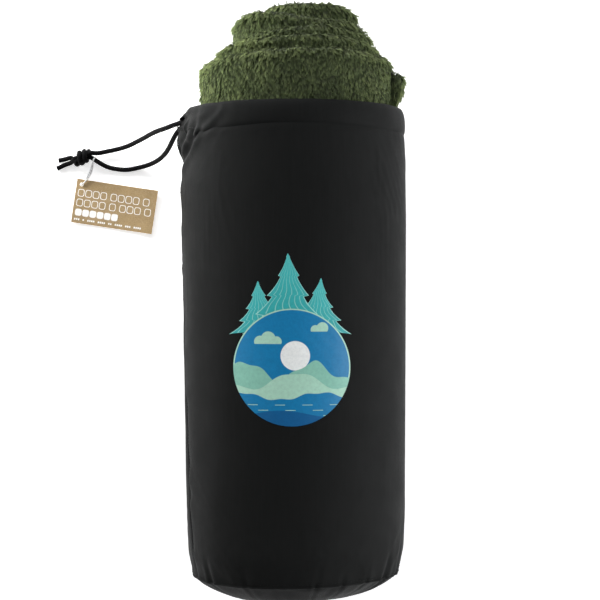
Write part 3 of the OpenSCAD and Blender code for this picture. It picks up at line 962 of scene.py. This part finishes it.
def settle(o, colliders, pinned, last_frame):
    """Lets cloth o settle on the colliders with some points pinned. Returns its new points."""
    group = o.vertex_groups.new(name="pin")
    group.add([int(i) for i in np.flatnonzero(pinned)], 1.0, "REPLACE")
    cloth = o.modifiers.new("cloth", "CLOTH")
    c = cloth.settings
    c.quality = 6
    c.mass = 0.12
    c.tension_stiffness = c.compression_stiffness = 30
    c.shear_stiffness = 12
    c.bending_stiffness = 0.35
    c.tension_damping = c.compression_damping = c.shear_damping = 8
    c.bending_damping = 1.0
    c.air_damping = 2.0
    c.vertex_group_mass = "pin"
    cloth.collision_settings.use_self_collision = False
    cloth.collision_settings.distance_min = 0.6 * MM
    cloth.collision_settings.collision_quality = 3
    for other in colliders:
        other.modifiers.new("hit", "COLLISION")
        other.collision.thickness_outer = 0.6 * MM
        other.collision.cloth_friction = 12
    scene = bpy.context.scene
    cloth.point_cache.frame_start, cloth.point_cache.frame_end = 1, last_frame
    for frame_number in range(1, last_frame + 1):
        scene.frame_set(frame_number)
    depsgraph = bpy.context.evaluated_depsgraph_get()
    v = points_of(o.evaluated_get(depsgraph).to_mesh())
    o.evaluated_get(depsgraph).to_mesh_clear()
    scene.frame_set(1)
    for other in colliders:
        bpy.data.objects.remove(other)
    bpy.data.objects.remove(o)
    return v


SETTLE_FRAMES = 26


def body_points():
    """The cloth of the pouch's tube, settled on the roll: points by column and row, base seam first."""
    t = around()
    y = np.linspace(SEAM_Y, CASING_Y, ROWS)
    high = SEAM_Y + (y[None, :] - SEAM_Y) * (1 - stitch_dip(t)[:, None] / (CASING_Y - SEAM_Y))
    # the base hangs a little lower at the left
    high = high + 1.5 * MM * np.cos(t)[:, None] * (1 - ease((y - SEAM_Y) / (90 * MM)))[None, :]
    # the cloth is cut a little wide, so it starts in shallow waves that gravity then arranges
    u = t[:, None] * GIRTH_R
    full = lattice(xyz(u, 0.12 * high), 13 * MM, 45)
    full *= ease((high - SEAM_Y) / (25 * MM)) * ease((CASING_Y - high) / (25 * MM))
    flat = section(t[:, None], high, -1.5 * MM * full).reshape(-1, 3)
    cloth = new_mesh("settling", flat, grid_faces(COLUMNS, ROWS, around=True))
    yy = np.linspace(SEAM_Y - 2 * MM, RIM_Y + 2 * MM, 60)
    inner = section(around(96)[:, None], yy[None, :], inset=1.9 * MM)
    roll = new_mesh("filling", inner.reshape(-1, 3), grid_faces(96, 60, around=True))
    ground = new_mesh("ground", rectangle(0.4, 0.5, -0.4 * MM), [[0, 1, 2, 3]])
    row = np.arange(COLUMNS * ROWS) % ROWS
    pinned = (row == 0) | (row == ROWS - 1)
    p = settle(cloth, [roll, ground], pinned, SETTLE_FRAMES).reshape(COLUMNS, ROWS, 3)
    return t, y, p


def cloth_piece(name, p, faces, along):
    """A piece of cloth from its grid of points, with UV in metres of its own surface."""
    o = smoothed(new_mesh(name, p.reshape(-1, 3), faces))
    across = np.linspace(0, CLOTH_ROUND, len(p), endpoint=False)
    set_uv(o, np.stack(np.meshgrid(across, along, indexing="ij"), -1).reshape(-1, 2))
    return o


def grid_normals(p):
    """Outward normals of a grid of points by column and row."""
    n = unit(np.cross(np.roll(p, -1, 0) - np.roll(p, 1, 0), np.gradient(p, axis=1)))
    if (n[:, p.shape[1] // 2] * (p[:, p.shape[1] // 2] - p[:, p.shape[1] // 2].mean(0))).sum() < 0:
        n = -n
    return n


def seam_angle(y):
    """The angle of the side seam at heights y: it runs round to the front towards the base."""
    return math.pi - 0.02 - 0.30 * ease((0.06 - y) / 0.24)


# Small tucks in the base seam: angle, depth, half width and height in millimetres.
TUCKS = [(1.366, 1.9, 1.1, 11), (0.58, 2.2, 2.3, 17), (0.33, 1.6, 2.0, 22), (2.02, 1.2, 1.5, 9),
         (2.47, 1.5, 2.2, 14), (1.12, 1.0, 1.5, 8), (0.86, 1.1, 1.4, 8), (1.72, 0.8, 1.6, 7),
         (-0.5, 1.5, 2.0, 12), (3.6, 1.4, 2.0, 12)]


def make_body():
    """The pouch's tube of cloth with its puckered seams. Returns the piece and its grid."""
    t, y, p = body_points()
    n = grid_normals(p)
    yy = np.broadcast_to(y[None, :], p.shape[:2])
    tt = np.broadcast_to(t[:, None], p.shape[:2])
    # puckers along the side seam
    off = (np.mod(seam_angle(yy) - tt + math.pi, 2 * math.pi) - math.pi) * GIRTH_R
    near = np.exp(-(off / (9 * MM)) ** 2) * (1 - np.exp(-(off / (1.6 * MM)) ** 2))
    slant = xyz(0.25 * off, yy + 0.25 * np.abs(off), np.sign(off))
    pucker = lattice(slant, 7.5 * MM, 41) * near * 1.1 * MM
    pinch = -0.9 * MM * np.exp(-(off / (3.2 * MM)) ** 2)
    # puckers up from the base seam
    up = yy - SEAM_Y
    u = tt * GIRTH_R
    low = np.exp(-(up / (13 * MM)) ** 2) * ease(up / (3 * MM))
    fan = xyz(u, 0.3 * up)
    ruck = lattice(fan, 9 * MM, 42) * low * 1.25 * MM
    tuck = 0 * off
    for angle, depth, wide, tall in TUCKS:
        away = (tt - angle) * 82 + 0.12 * up / MM * math.copysign(1, math.cos(angle))
        tuck += depth * MM * (0.45 * np.exp(-((np.abs(away) - 2.4 * wide) / (1.5 * wide)) ** 2)
                              - np.exp(-(away / wide) ** 2)) * np.exp(-(up / MM / tall) ** 2)
    # long soft folds down the tube, strongest below the gathers and near the base at the left
    soft = xyz(u + 0.12 * yy, 0.16 * yy)
    wave = lattice(soft, 34 * MM, 43)
    wave2 = lattice(xyz(u - 0.5 * yy, 0.5 * yy + 0.4 * u), 30 * MM, 44)
    left = np.exp(-((tt - 2.6) / 0.9) ** 2)
    folds = (0.75 * wave * (0.5 + left) + 0.8 * wave2 * left * (0.35 + ease((-0.06 - yy) / 0.08))) * MM
    ends = ease(up / (10 * MM)) * ease((CASING_Y - yy) / (8 * MM))
    under = ease((p[..., 2] - 4 * MM) / (12 * MM))
    p = p + n * ((pucker + pinch + ruck + tuck + folds * ends) * under + creases(tt, p[..., 1]))[..., None]
    # its last rows are turned in under the casing
    p[:, -1] -= 1.1 * MM * n[:, -1]
    p[:, -1, 1] += 2.2 * MM
    p[..., 2] = np.maximum(p[..., 2], FLOOR_GAP)
    return cloth_piece("pouch_cloth", p, grid_faces(COLUMNS, ROWS, around=True), y), y, p


def on_grid(p, n, column, row):
    """Points and normals of a grid round the pouch at fractional columns and rows."""
    c0, r0 = np.floor(column).astype(int), np.clip(np.floor(row).astype(int), 0, p.shape[1] - 2)
    fc, fr = (column - c0)[:, None], (row - r0)[:, None]
    c1 = (c0 + 1) % p.shape[0]
    c0 = c0 % p.shape[0]
    pick = lambda a: ((a[c0, r0] * (1 - fc) + a[c1, r0] * fc) * (1 - fr)
                      + (a[c0, r0 + 1] * (1 - fc) + a[c1, r0 + 1] * fc) * fr)
    return pick(p), unit(pick(n))


# Sharp creases where the bunched corner folds over: each from one place to another, as millimetres
# round from the side seam and along the pouch, with its depth and width.
CREASES = [(46, 124, 9, 100, 2.6, 2.4), (25, 131, 10, 107, 1.7, 1.9), (7, 129, 5, 110, 1.3, 1.7),
           (31, 141, 11, 134, 1.4, 1.8), (56, 133, 22, 132, 1.0, 1.7), (-9, 130, -7, 108, 1.6, 2.0),
           (-24, 134, -9, 131, 1.2, 1.8), (74, 136, 52, 122, 0.8, 2.2)]


def creases(t, y):
    """How far the creases of the bunched corner stand in or out."""
    u = from_seam(t)
    u, y = np.broadcast_arrays(u, y)
    total = np.zeros(u.shape)
    for u0, y0, u1, y1, depth, width in np.array(CREASES) * MM:
        du, dy = u1 - u0, y1 - y0
        long = math.hypot(du, dy)
        s = ((u - u0) * du + (y - y0) * dy) / long ** 2
        bow = 1.4 * MM * np.sin(math.pi * np.clip(s, 0, 1))
        d = ((u - u0) * dy - (y - y0) * du) / long + bow
        ends = ease((s + 0.18) / 0.30) * ease((1.18 - s) / 0.30)
        total += ends * depth * (0.55 * np.exp(-((np.abs(d) - 2.2 * width) / (1.5 * width)) ** 2)
                                 - np.exp(-(d / width) ** 2))
    return total


def stitch_dip(t):
    """How far the casing's stitching bows down at the sides of the mouth."""
    side = 1 - np.exp(-(1 - np.sin(t)) / 0.36)
    u = from_seam(t)
    side = side * (1 - 0.8 * np.exp(-(u / (15 * MM)) ** 2))
    return np.where(np.cos(t) < 0, 4.4, 2.3) * side * ease(np.abs(np.cos(t)) / 0.5) * MM


def rim_dip(t):
    """How far the rim is pulled down where the cord leaves."""
    u = from_seam(t)
    return 4.6 * MM * np.exp(-(u / (19 * MM)) ** 2)


# Inset from the pouch's surface and height of the folded casing, millimetres, from the stitching
# over the rim and down inside it.
CASING = [(1.0, 124.4), (0.1, 125.6), (-0.5, 127.2), (-0.8, 129.5), (-0.95, 132), (-0.95, 134.5),
          (-0.75, 137), (-0.3, 139.2), (0.35, 140.9), (1.2, 141.9), (2.1, 142), (3.0, 141.3), (4.1, 139.6),
          (5.2, 137.2), (5.7, 134.6), (5.6, 132), (4.7, 129.6), (3.2, 127.4), (2.0, 125.9), (1.6, 124.6),
          (1.6, 122.6), (1.9, 121.6)]
SLIT_Z = (61 * MM, 89 * MM)
# The heights of the bar tacks at the slit's ends, each tack's width, and where its threads lie.
TACK_Z, TACK_W = (58.8 * MM, 91.2 * MM), 4.4 * MM
TACK_FROM, TACK_STEP, TACK_THREADS = 127.6 * MM, 1.05 * MM, 9


def make_casing():
    """The folded casing round the mouth, its outer layer open where the cord comes out."""
    fine = COLUMNS * 2
    t = around(fine)
    inset, y = (np.array(c)[None, :] * MM for c in zip(*CASING))
    rows = inset.shape[1]
    share = ease((y - CASING_Y) / (14 * MM))
    yy = y - rim_dip(t)[:, None] * share - stitch_dip(t)[:, None] * (RIM_Y - y) / (RIM_Y - CASING_Y)
    p = section(t[:, None], yy, inset)
    # the casing's own small crimps where it gathers on the cord
    u = from_seam(t)
    crimp = lattice(xyz(u), 5.5 * MM, 51)
    crimp *= 0.28 + 0.5 * np.exp(-(u / (55 * MM)) ** 2)
    n = grid_normals(p)
    outside = ease((9 - np.arange(rows)) / 6)[None, :]
    p = p + n * (crimp[:, None] * np.sin(math.pi * np.linspace(0, 1, rows))[None, :] * MM
                 + creases(t[:, None], p[..., 1]) * outside)[..., None]
    p[..., 2] = np.maximum(p[..., 2], FLOOR_GAP)
    faces = grid_faces(fine, rows, around=True)
    mid = p.reshape(-1, 3)[faces].mean(1)
    row = faces.min(1) % rows
    open_ = (mid[:, 0] < -0.07) & (mid[:, 2] > SLIT_Z[0]) & (mid[:, 2] < SLIT_Z[1]) & (row >= 4) & (row <= 6)
    return cloth_piece("casing_cloth", p, faces[~open_], distances(np.array(CASING)) * MM)


def make_base(seam_ring):
    """The round panel sewn into the base, bulging and puckered at its seam."""
    rings = 30
    r = 1 - (np.arange(rings) / (rings - 1)) ** 1.35
    centre = np.array([0, 0, AXIS_Z])
    flat = seam_ring * [1, 0, 1]
    p = centre + (flat - centre)[:, None] * np.maximum(r, 0.004)[None, :, None]
    t = around()
    u = t * 80 * MM
    ruck = lattice(xyz(u), 8.5 * MM, 61)
    ruck2 = lattice(xyz(u), 19 * MM, 62)
    edge = r ** 9 * (1 - r ** 60)
    crease = fractal(xyz(p[..., 0], 0, p[..., 2]), 42 * MM, 63, 2)
    p[..., 1] = (seam_ring[:, 1:2] - SEAM_Y) * r ** 2 + base_dome(r)[None, :]
    p[..., 1] -= (1.5 * ruck[:, None] * edge + 1.3 * ruck2[:, None] * r ** 4 * (1 - r ** 30)) * MM
    p[..., 1] += 1.1 * MM * crease * (1 - r ** 12)
    p[..., 2] = np.maximum(p[..., 2], FLOOR_GAP)
    o = smoothed(new_mesh("base_panel", p.reshape(-1, 3), grid_faces(COLUMNS, rings, around=True)))
    set_uv(o, p.reshape(-1, 3)[:, [0, 2]])
    return o


def ridge(points, normals, width, height, closed=False):
    """(points, faces) of a low rounded ridge along a line on a surface."""
    along = np.roll(points, -1, 0) - np.roll(points, 1, 0) if closed else np.gradient(points, axis=0)
    side = unit(np.cross(unit(along), normals))
    a = np.linspace(0, math.pi, 7)
    prof = np.stack([np.cos(a) * width / 2, np.sin(a) * height - 0.15 * height], -1)
    p = points[:, None] + prof[None, :, :1] * side[:, None] + prof[None, :, 1:] * normals[:, None]
    return p.reshape(-1, 3), grid_faces(len(points), len(a), around=closed)


def stitches(points, normals, pitch=2.6 * MM, gap=0.7 * MM, thick=0.17 * MM, lift=0.14 * MM):
    """(points, faces) lists of the separate stitches of a seam along a line on a surface."""
    s = distances(points)
    parts = []
    a = np.linspace(0, 2 * math.pi, 6, endpoint=False)
    t = np.linspace(0, 1, 6)
    plump = np.array([0.7, 1, 1.1, 1.1, 1, 0.7])
    for s0 in np.arange(pitch / 2, s[-1] - pitch, pitch):
        at = s0 + t * (pitch - gap)
        c, n = along_line(points, s, at), unit(along_line(normals, s, at))
        c = c + n * ((np.sin(math.pi * t) * 1.6 - 0.6) * lift)[:, None]
        along = unit(np.gradient(c, axis=0))
        side = unit(np.cross(along, n))
        up = np.cross(side, along)
        across = np.cos(a)[None, :, None] * side[:, None] + np.sin(a)[None, :, None] * up[:, None]
        p = c[:, None] + thick * plump[:, None, None] * across
        parts.append((p.reshape(-1, 3), tube_faces(6, 6)))
    return parts


def wrapped(points, normals):
    """The same closed line with its first point again at the end."""
    return np.vstack([points, points[:1]]), np.vstack([normals, normals[:1]])


def make_seams(grid, y):
    """The folds along the side seam and the base seam, and all the pouch's stitches."""
    normals = grid_normals(grid)
    rows = np.linspace(0.3, ROWS - 1.4, 420)
    heights = np.interp(rows, np.arange(ROWS), y)
    columns = np.mod((math.pi - seam_angle(heights)) / (2 * math.pi) * COLUMNS, COLUMNS)
    seam = on_grid(grid, normals, columns, rows)
    side_fold = merged("side_seam_fold", [ridge(*seam, 1.5 * MM, 0.55 * MM)])
    parts = stitches(*on_grid(grid, normals, np.mod(columns + 1.0, COLUMNS), rows))
    # the base seam, the stitches above it and the casing's, each all the way round
    ring_columns = np.arange(0, COLUMNS, 0.4)
    ring, above, top = (on_grid(grid, normals, ring_columns, np.full(len(ring_columns), row))
                        for row in (0.12, 0.95, ROWS - 1.02))
    fold_line = ridge(ring[0], unit(ring[1] + [0, -0.6, 0]), 1.8 * MM, 0.75 * MM, closed=True)
    base_fold = merged("base_seam_fold", [fold_line])
    parts += stitches(*wrapped(*above))
    lift = top[1] * 0.35 * MM + np.array([0, 1.2 * MM, 0])
    parts += stitches(*wrapped(top[0] + lift, top[1]), pitch=3.0 * MM)
    return side_fold, base_fold, merged("pouch_stitches", parts)


def make_tacks():
    """The bar tacks across the two ends of the slit."""
    parts = []
    for z in TACK_Z:
        at = math.pi + math.asin(np.clip((AXIS_Z - z) / HALF_H, -1, 1))
        across = np.linspace(-0.5, 0.5, 8) * TACK_W
        for k in range(TACK_THREADS):
            thread = section(at - across / (80 * MM), np.full(8, TACK_FROM + TACK_STEP * k), -0.7 * MM)
            parts += stitches(thread, np.tile([-1.0, 0, 0], (8, 1)), pitch=1.4 * MM, gap=0.3 * MM,
                              thick=0.2 * MM)
    return merged("bar_tacks", parts)


# ---------------------------------------------------------------- the drawcord

CORD_D = 3.6 * MM
ROUTE_UPPER = [[-79.2, 134, 86.5], [-80, 134, 83], [-82.5, 133.6, 78], [-86.5, 132.8, 74], [-92, 131.5, 69.5],
               [-98.5, 130, 62.5], [-105, 129, 53], [-111, 127.8, 42], [-117, 126, 31.5], [-124, 124, 20.5],
               [-132, 121.5, 11.5], [-141, 119.5, 6], [-150, 117.8, 4], [-156.5, 116.6, 4.6]]
ROUTE_LOWER = [[-79.4, 133.8, 63], [-80.2, 133.5, 66.5], [-82.5, 132, 70], [-85.8, 129.3, 70.5],
               [-89.5, 125.3, 66.5], [-92.8, 121, 59.5], [-95.6, 117.6, 50.5], [-98.5, 114.8, 41],
               [-102, 112.4, 31], [-106.5, 110.1, 20.5], [-112, 108.2, 11.5], [-118.5, 106.4, 5.5],
               [-126, 104.8, 2.6], [-134, 103.6, 2], [-142, 104.2, 2.2], [-149, 105.8, 3.2],
               [-155.5, 109.2, 4.4]]
TAIL_UPPER = [[-178.0, 112.9, 3.8], [-182.6, 111.9, 2.7], [-187.6, 111.0, 2.1]]
TAIL_LOWER = [[-177.6, 109.3, 3.2], [-182.6, 107.5, 2.3], [-189.0, 104.6, 2.1]]
KNOT_AT = np.array([-168.2, 113.2, 6.2])


def knot_turn(phase):
    """Millimetre points of one strand's way through the knot, from the side it enters by."""
    axis = unit(np.array([-0.965, -0.26, -0.03]))
    up = unit(np.cross(axis, [0, 1, 0.0]))
    up = up if up[2] > 0 else -up
    side = np.cross(axis, up)
    # along the knot, out from its middle, and round it in degrees
    way = [(-6.6, 1.9, 0), (-3.4, 1.5, 0), (0.4, 1.4, 20), (3.2, 2.0, 60), (4.3, 3.6, 105),
           (3.4, 4.3, 160), (2.0, 4.3, 220), (0.7, 4.3, 280), (-0.6, 4.3, 340), (-2.0, 4.3, 400),
           (-3.3, 4.2, 455), (-4.2, 3.2, 505), (-3.3, 1.8, 545), (-0.6, 1.4, 565), (3.2, 1.6, 575),
           (6.4, 1.9, 580)]
    out = []
    for x, r, a in way:
        a = math.radians(a + phase)
        over = math.cos(a) * side + math.sin(a) * 0.95 * up
        out.append(KNOT_AT + (x - 0.55 * r * over[1]) * axis + 1.02 * r * over)
    return [p.tolist() for p in out]


def braid(n=6, pitch=1.75 * MM, depth=0.15 * MM):
    """Relief of a braided sleeve: strands run both ways round the cord and cross."""
    def relief(s, a):
        """How far the sleeve stands out at distance s along the cord and angle a round it."""
        turn, along = n * a, 2 * math.pi * s / pitch
        over = 0.5 + 0.5 * np.sign(np.cos(turn) * np.cos(along))
        one, two = np.cos(turn + along), np.cos(along - turn)
        return depth * (np.maximum(one * (0.6 + 0.4 * over), two * (1 - 0.4 * over)) - 0.35)
    return relief


def make_cords():
    """The two strands with the knot tied in them and their cut tails, and the cord in the casing."""
    cords = []
    for name, route, phase, tail in (("cord_strand_upper", ROUTE_UPPER, 40, TAIL_UPPER),
                                     ("cord_strand_lower", ROUTE_LOWER, 220, TAIL_LOWER)):
        line = spline(route + knot_turn(phase) + tail, 0.30 * MM)
        flare = 1 + 0.10 * ease((np.arange(len(line)) - (len(line) - 6)) / 5)
        cords.append((tube(name, line, (CORD_D / 2 - 0.02 * MM) * flare, 40, braid()), line))
    t = np.linspace(math.radians(168), math.radians(-173), 420)
    ring = section(t, np.full(len(t), 134 * MM) - 0.4 * rim_dip(t), 3.0 * MM)
    ring[:, 2] = np.maximum(ring[:, 2], 2.6 * MM)
    return cords, tube("cord_in_casing", resample(ring, 0.8 * MM), CORD_D / 2, 14,
                       braid(4, 3.2 * MM, 0.1 * MM))


# ---------------------------------------------------------------- the tag

TAG_TURN = math.radians(-8.6)
HOLE = np.array([-169.6, 92.1])
HOLE_R = 1.6
CARD_W, CARD_H, CARD_T = 65.0, 35.0, 0.5
CARD_MID = (28.5, -13.5)
# Each printed row: its place across the card, its blocks' width and height, the gap between them,
# the width of their outline or 0 for solid blocks, and how many there are in each group.
PRINT_ROWS = [(6.8, 5.2, 6.0, 0.8, 0.5, (4, 4, 1)), (-1.0, 5.2, 6.0, 0.8, 0.5, (4, 1, 3, 1)),
              (-8.8, 5.3, 5.6, 0.5, 0, (6,)), (-14.4, 1.2, 1.5, 0.35, 0, (3, 1, 4, 4, 2, 4, 3, 4))]
PRINT_MARGIN, GROUP_GAP = 2.0, 2.2


def card_place(u, v, lift):
    """Points of the tag from millimetres across and up from its middle: it curls a little off the floor."""
    c, s = math.cos(TAG_TURN), math.sin(TAG_TURN)
    mx, my = HOLE[0] + c * CARD_MID[0] - s * CARD_MID[1], HOLE[1] + s * CARD_MID[0] + c * CARD_MID[1]
    x = mx + c * u - s * v
    y = my + s * u + c * v
    curl = 1.25 * (u / 32) ** 2 + 0.5 * (v / 17.3) ** 2 * (0.4 + 0.6 * u / 32) + 0.15 * (u / 32)
    z = 0.35 + CARD_T / 2 + 0.9 * np.clip(curl, 0, None) + lift
    return xyz(x, y, z) * MM


def make_card():
    """The kraft card with its punched hole."""
    bpy.ops.mesh.primitive_cube_add(size=1)
    o = bpy.context.object
    o.name = "tag_card"
    o.scale = (CARD_W, CARD_H, CARD_T)
    bpy.ops.object.transform_apply(scale=True)
    # cut across into small faces, so that it can curl
    bm = bmesh.new()
    bm.from_mesh(o.data)
    for axis, count, size in ((0, 40, CARD_W), (1, 24, CARD_H)):
        for k in range(1, count):
            normal = Vector([float(axis == i) for i in range(3)])
            bmesh.ops.bisect_plane(bm, geom=bm.verts[:] + bm.edges[:] + bm.faces[:],
                                   plane_co=normal * ((k / count - 0.5) * size), plane_no=normal)
    bm.to_mesh(o.data)
    bm.free()
    bpy.ops.mesh.primitive_cylinder_add(vertices=40, radius=HOLE_R, depth=6,
                                        location=(-CARD_MID[0], -CARD_MID[1], 0))
    punch = bpy.context.object
    cut = o.modifiers.new("hole", "BOOLEAN")
    cut.object, cut.operation, cut.solver = punch, "DIFFERENCE", "EXACT"
    bpy.context.view_layer.objects.active = o
    bpy.ops.object.modifier_apply(modifier="hole")
    bpy.data.objects.remove(punch)
    v = points_of(o.data)
    set_uv(o, v[:, :2] / 64 + 0.5)
    # the cut edges are a little furred
    edge = np.maximum(np.abs(v[:, 0]) / (CARD_W / 2), np.abs(v[:, 1]) / (CARD_H / 2)) > 0.999
    ragged = 0.10 * lattice(v * [1, 1, 0], 0.8, 71) * edge
    p = card_place(v[:, 0] * (1 + ragged / 32), v[:, 1] * (1 + ragged / 17), v[:, 2])
    o.data.vertices.foreach_set("co", p.reshape(-1))
    o.data.update()
    o.data.shade_flat()
    return o


def make_blocks():
    """The rows of round-cornered blocks printed on the tag."""
    parts = []
    turns, rings = 40, 6
    t = np.linspace(0, 2 * math.pi, turns, endpoint=False)[:, None]
    for across, wide, tall, gap, edge, groups in PRINT_ROWS:
        start = PRINT_MARGIN - CARD_W / 2
        inner = [1 - 2 * edge / size if edge else 0.01 for size in (wide, tall)]
        # from the block's outline in to its hole or its middle
        share_u, share_v = (np.linspace(1, k, rings)[None, :] for k in inner)
        for count in groups:
            for _ in range(count):
                u = start + wide / 2 * (1 + share_u * np.sign(np.cos(t)) * np.abs(np.cos(t)) ** 0.55)
                v = across + tall / 2 * share_v * np.sign(np.sin(t)) * np.abs(np.sin(t)) ** 0.55
                place = xyz(u, v)
                u, v = u + 0.05 * lattice(place, 0.7, 72), v + 0.05 * lattice(place, 0.7, 73)
                parts.append((card_place(u, v, CARD_T / 2 + 0.035).reshape(-1, 3),
                              grid_faces(turns, rings, around=True)))
                start += wide + gap
            start += GROUP_GAP
    return merged("tag_blocks", parts)


LOOP_D = 1.2 * MM
HOOK_AT = np.array([-160.2, 110.6])
LOOP_END_Z = 0.35 + CARD_T / 2 + 1.0


def make_loop():
    """The clear plastic loop: out from the cord's fork, through the tag's hole and back."""
    d = HOLE - HOOK_AT
    long = float(np.hypot(*d))
    d = d / long
    side = np.array([-d[1], d[0]])
    tag = LOOP_END_Z
    way = [[-3.2, 0, 4.2], [-2.4, 0.3, 6.3], [0, 0.55, 7.4], [3.5, 0.7, 6.6], [8, 0.75, 4.9], [13, 0.75, 3.6],
           [long - 3.5, 0.7, tag + 1.6], [long - 1, 0.5, tag + 1.1], [long + 0.3, 0, tag],
           [long - 0.8, -0.5, tag - 0.75], [long - 3.5, -0.7, 0.72], [13, -0.75, 0.66], [8, -0.75, 0.66],
           [3.5, -0.7, 0.66], [0, -0.55, 0.85], [-2.4, -0.3, 2.0]]
    # it bows a little to one side on its way
    bow = lambda a: 2.1 * math.sin(math.pi * min(max(a / long, 0), 1))
    pts = [[*(HOOK_AT + a * d + (b + bow(a)) * side), z] for a, b, z in way]
    line = spline(pts, 0.5 * MM)
    return tube("clear_loop", line, LOOP_D / 2, 14), line


# ---------------------------------------------------------------- the print

BADGE_R, BADGE_X, BADGE_Y = 41.4 * MM, -1.6 * MM, -47.5 * MM
# Millimetres from the disc's middle across to each pine, up to its tip, and half its width at the foot.
PINES = [(-23, 61, 19), (20, 63, 19), (-3, 80.4, 28)]
PINE_FOOT, PINE_TIERS = 25.0, 4.2


def make_print(bag, material_disc, material_pine):
    """The printed badge, lying on the cloth and following its folds."""
    deps = bpy.context.evaluated_depsgraph_get()
    tree = BVHTree.FromObject(bag, deps)

    def lay(xy, lift):
        """Points lift above the cloth at places x, y."""
        out = []
        for x, y in xy:
            hit, n, _, _ = tree.ray_cast(Vector((x, y, 0.3)), Vector((0, 0, -1)))
            n = n if n.z > 0 else -n
            out.append(hit + n * lift)
        return np.array(out)

    pieces = []
    rows, cols = 70, 15
    v, u = np.linspace(0, 1, rows), np.linspace(-1, 1, cols)
    saw = np.mod(v * PINE_TIERS, 1.0)
    for k, (px, tip, foot) in enumerate(PINES):
        widest = foot * (1 - v) ** 0.92 * (0.80 + 0.30 * (1 - saw) ** 1.5) * (0.72 + 0.28 * (1 - v))
        widest += 0.5 * (1 - v)
        sway = 0.9 * np.sin(v * 5 + k * 2.1)
        x = BADGE_X + (px + sway[:, None] + widest[:, None] * u[None, :]) * MM
        droop = 1.6 * (u[None, :] ** 2) * (1 - v[:, None])
        y = BADGE_Y + (PINE_FOOT + (tip - PINE_FOOT) * v[:, None] - droop) * MM
        p = lay(np.stack([x, y], -1).reshape(-1, 2), (0.10 + 0.035 * k) * MM)
        o = new_mesh(f"print_pine_{k + 1}", p, grid_faces(rows, cols))
        vv, uu = np.meshgrid(v, u, indexing="ij")
        set_uv(o, np.stack([(uu + 1) / 2, vv], -1).reshape(-1, 2))
        o.data.materials.append(material_pine)
        pieces.append(o)
    turns, rings = 168, 34
    a = np.linspace(0, 2 * math.pi, turns, endpoint=False)
    r = np.linspace(0.001, 1, rings) * BADGE_R
    xy = np.stack([BADGE_X + r[None, :] * np.cos(a)[:, None], BADGE_Y + r[None, :] * np.sin(a)[:, None]], -1)
    p = lay(xy.reshape(-1, 2), 0.24 * MM)
    o = new_mesh("print_disc", p, grid_faces(turns, rings, around=True))
    set_uv(o, (xy.reshape(-1, 2) - [BADGE_X, BADGE_Y]) / (2 * BADGE_R) + 0.5)
    o.data.materials.append(material_disc)
    pieces.append(o)
    return pieces


# ---------------------------------------------------------------- putting it together

def dress(o, body, material, slot, *nodes):
    """o rides on body in its material and stands for CAD nodes."""
    if material and not o.data.materials:
        o.data.materials.append(material)
    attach(o, body)
    if nodes:
        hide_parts(*nodes)
    return o


make_studio()

# the cord and its tag
cord_braid = braid_material()
(upper, lower), in_casing = make_cords()
dress(upper[0], "pouch", cord_braid, "braid", "cord_upper", "cord_knot", "cord_tails")
dress(lower[0], "pouch", cord_braid, "braid", "cord_lower")
dress(in_casing, "pouch", cord_braid, "braid", "drawcord_in_casing")
dress(make_card(), "tag", kraft_material(), "kraft_card", "hang_tag")
dress(make_blocks(), "tag", white_ink_material(), "white_ink", "tag_print")
loop, loop_line = make_loop()
dress(loop, "loop", clear_material(), "clear_loop", "tag_loop")

# the pouch
cloth = polyester_material()
body, y, grid = make_body()
dress(body, "pouch", cloth, "polyester", "pouch_body")
casing = dress(make_casing(), "pouch", cloth, "polyester", "pouch_casing")
base = make_base(grid[:, 0])
dress(base, "pouch", cloth, "polyester", "pouch_base")

black = thread_material("black_thread", (0.0020, 0.0020, 0.0022), (0.0075, 0.0075, 0.0078))
side_fold, base_fold, sewing = make_seams(grid, y)
dress(side_fold, "pouch", cloth, "polyester", "side_seam")
dress(base_fold, "pouch", cloth, "polyester", "base_seam")
dress(sewing, "pouch", black, "black_thread", "casing_stitching")
dress(make_tacks(), "pouch", black, "black_thread", "cord_exit_tacks")
pine, disc = pine_material(), disc_material()
for k, o in enumerate(make_print(body, disc, pine)):
    dress(o, "pouch", None, "badge_ink", *(["badge_print"] if k == 3 else []))

# the blanket
throw, cut_edge, throw_sides = make_blanket()
dress(throw, "blanket", plush_material(), "plush", "blanket")
hem = make_hem(*throw_sides)
dress(hem, "blanket", thread_material("hem_thread", GREEN * 0.55, GREEN * 1.25), "hem_thread", "blanket_hem")
pile = make_pile(throw, cut_edge, TUFTS)
pile.data.materials.append(pile_material())
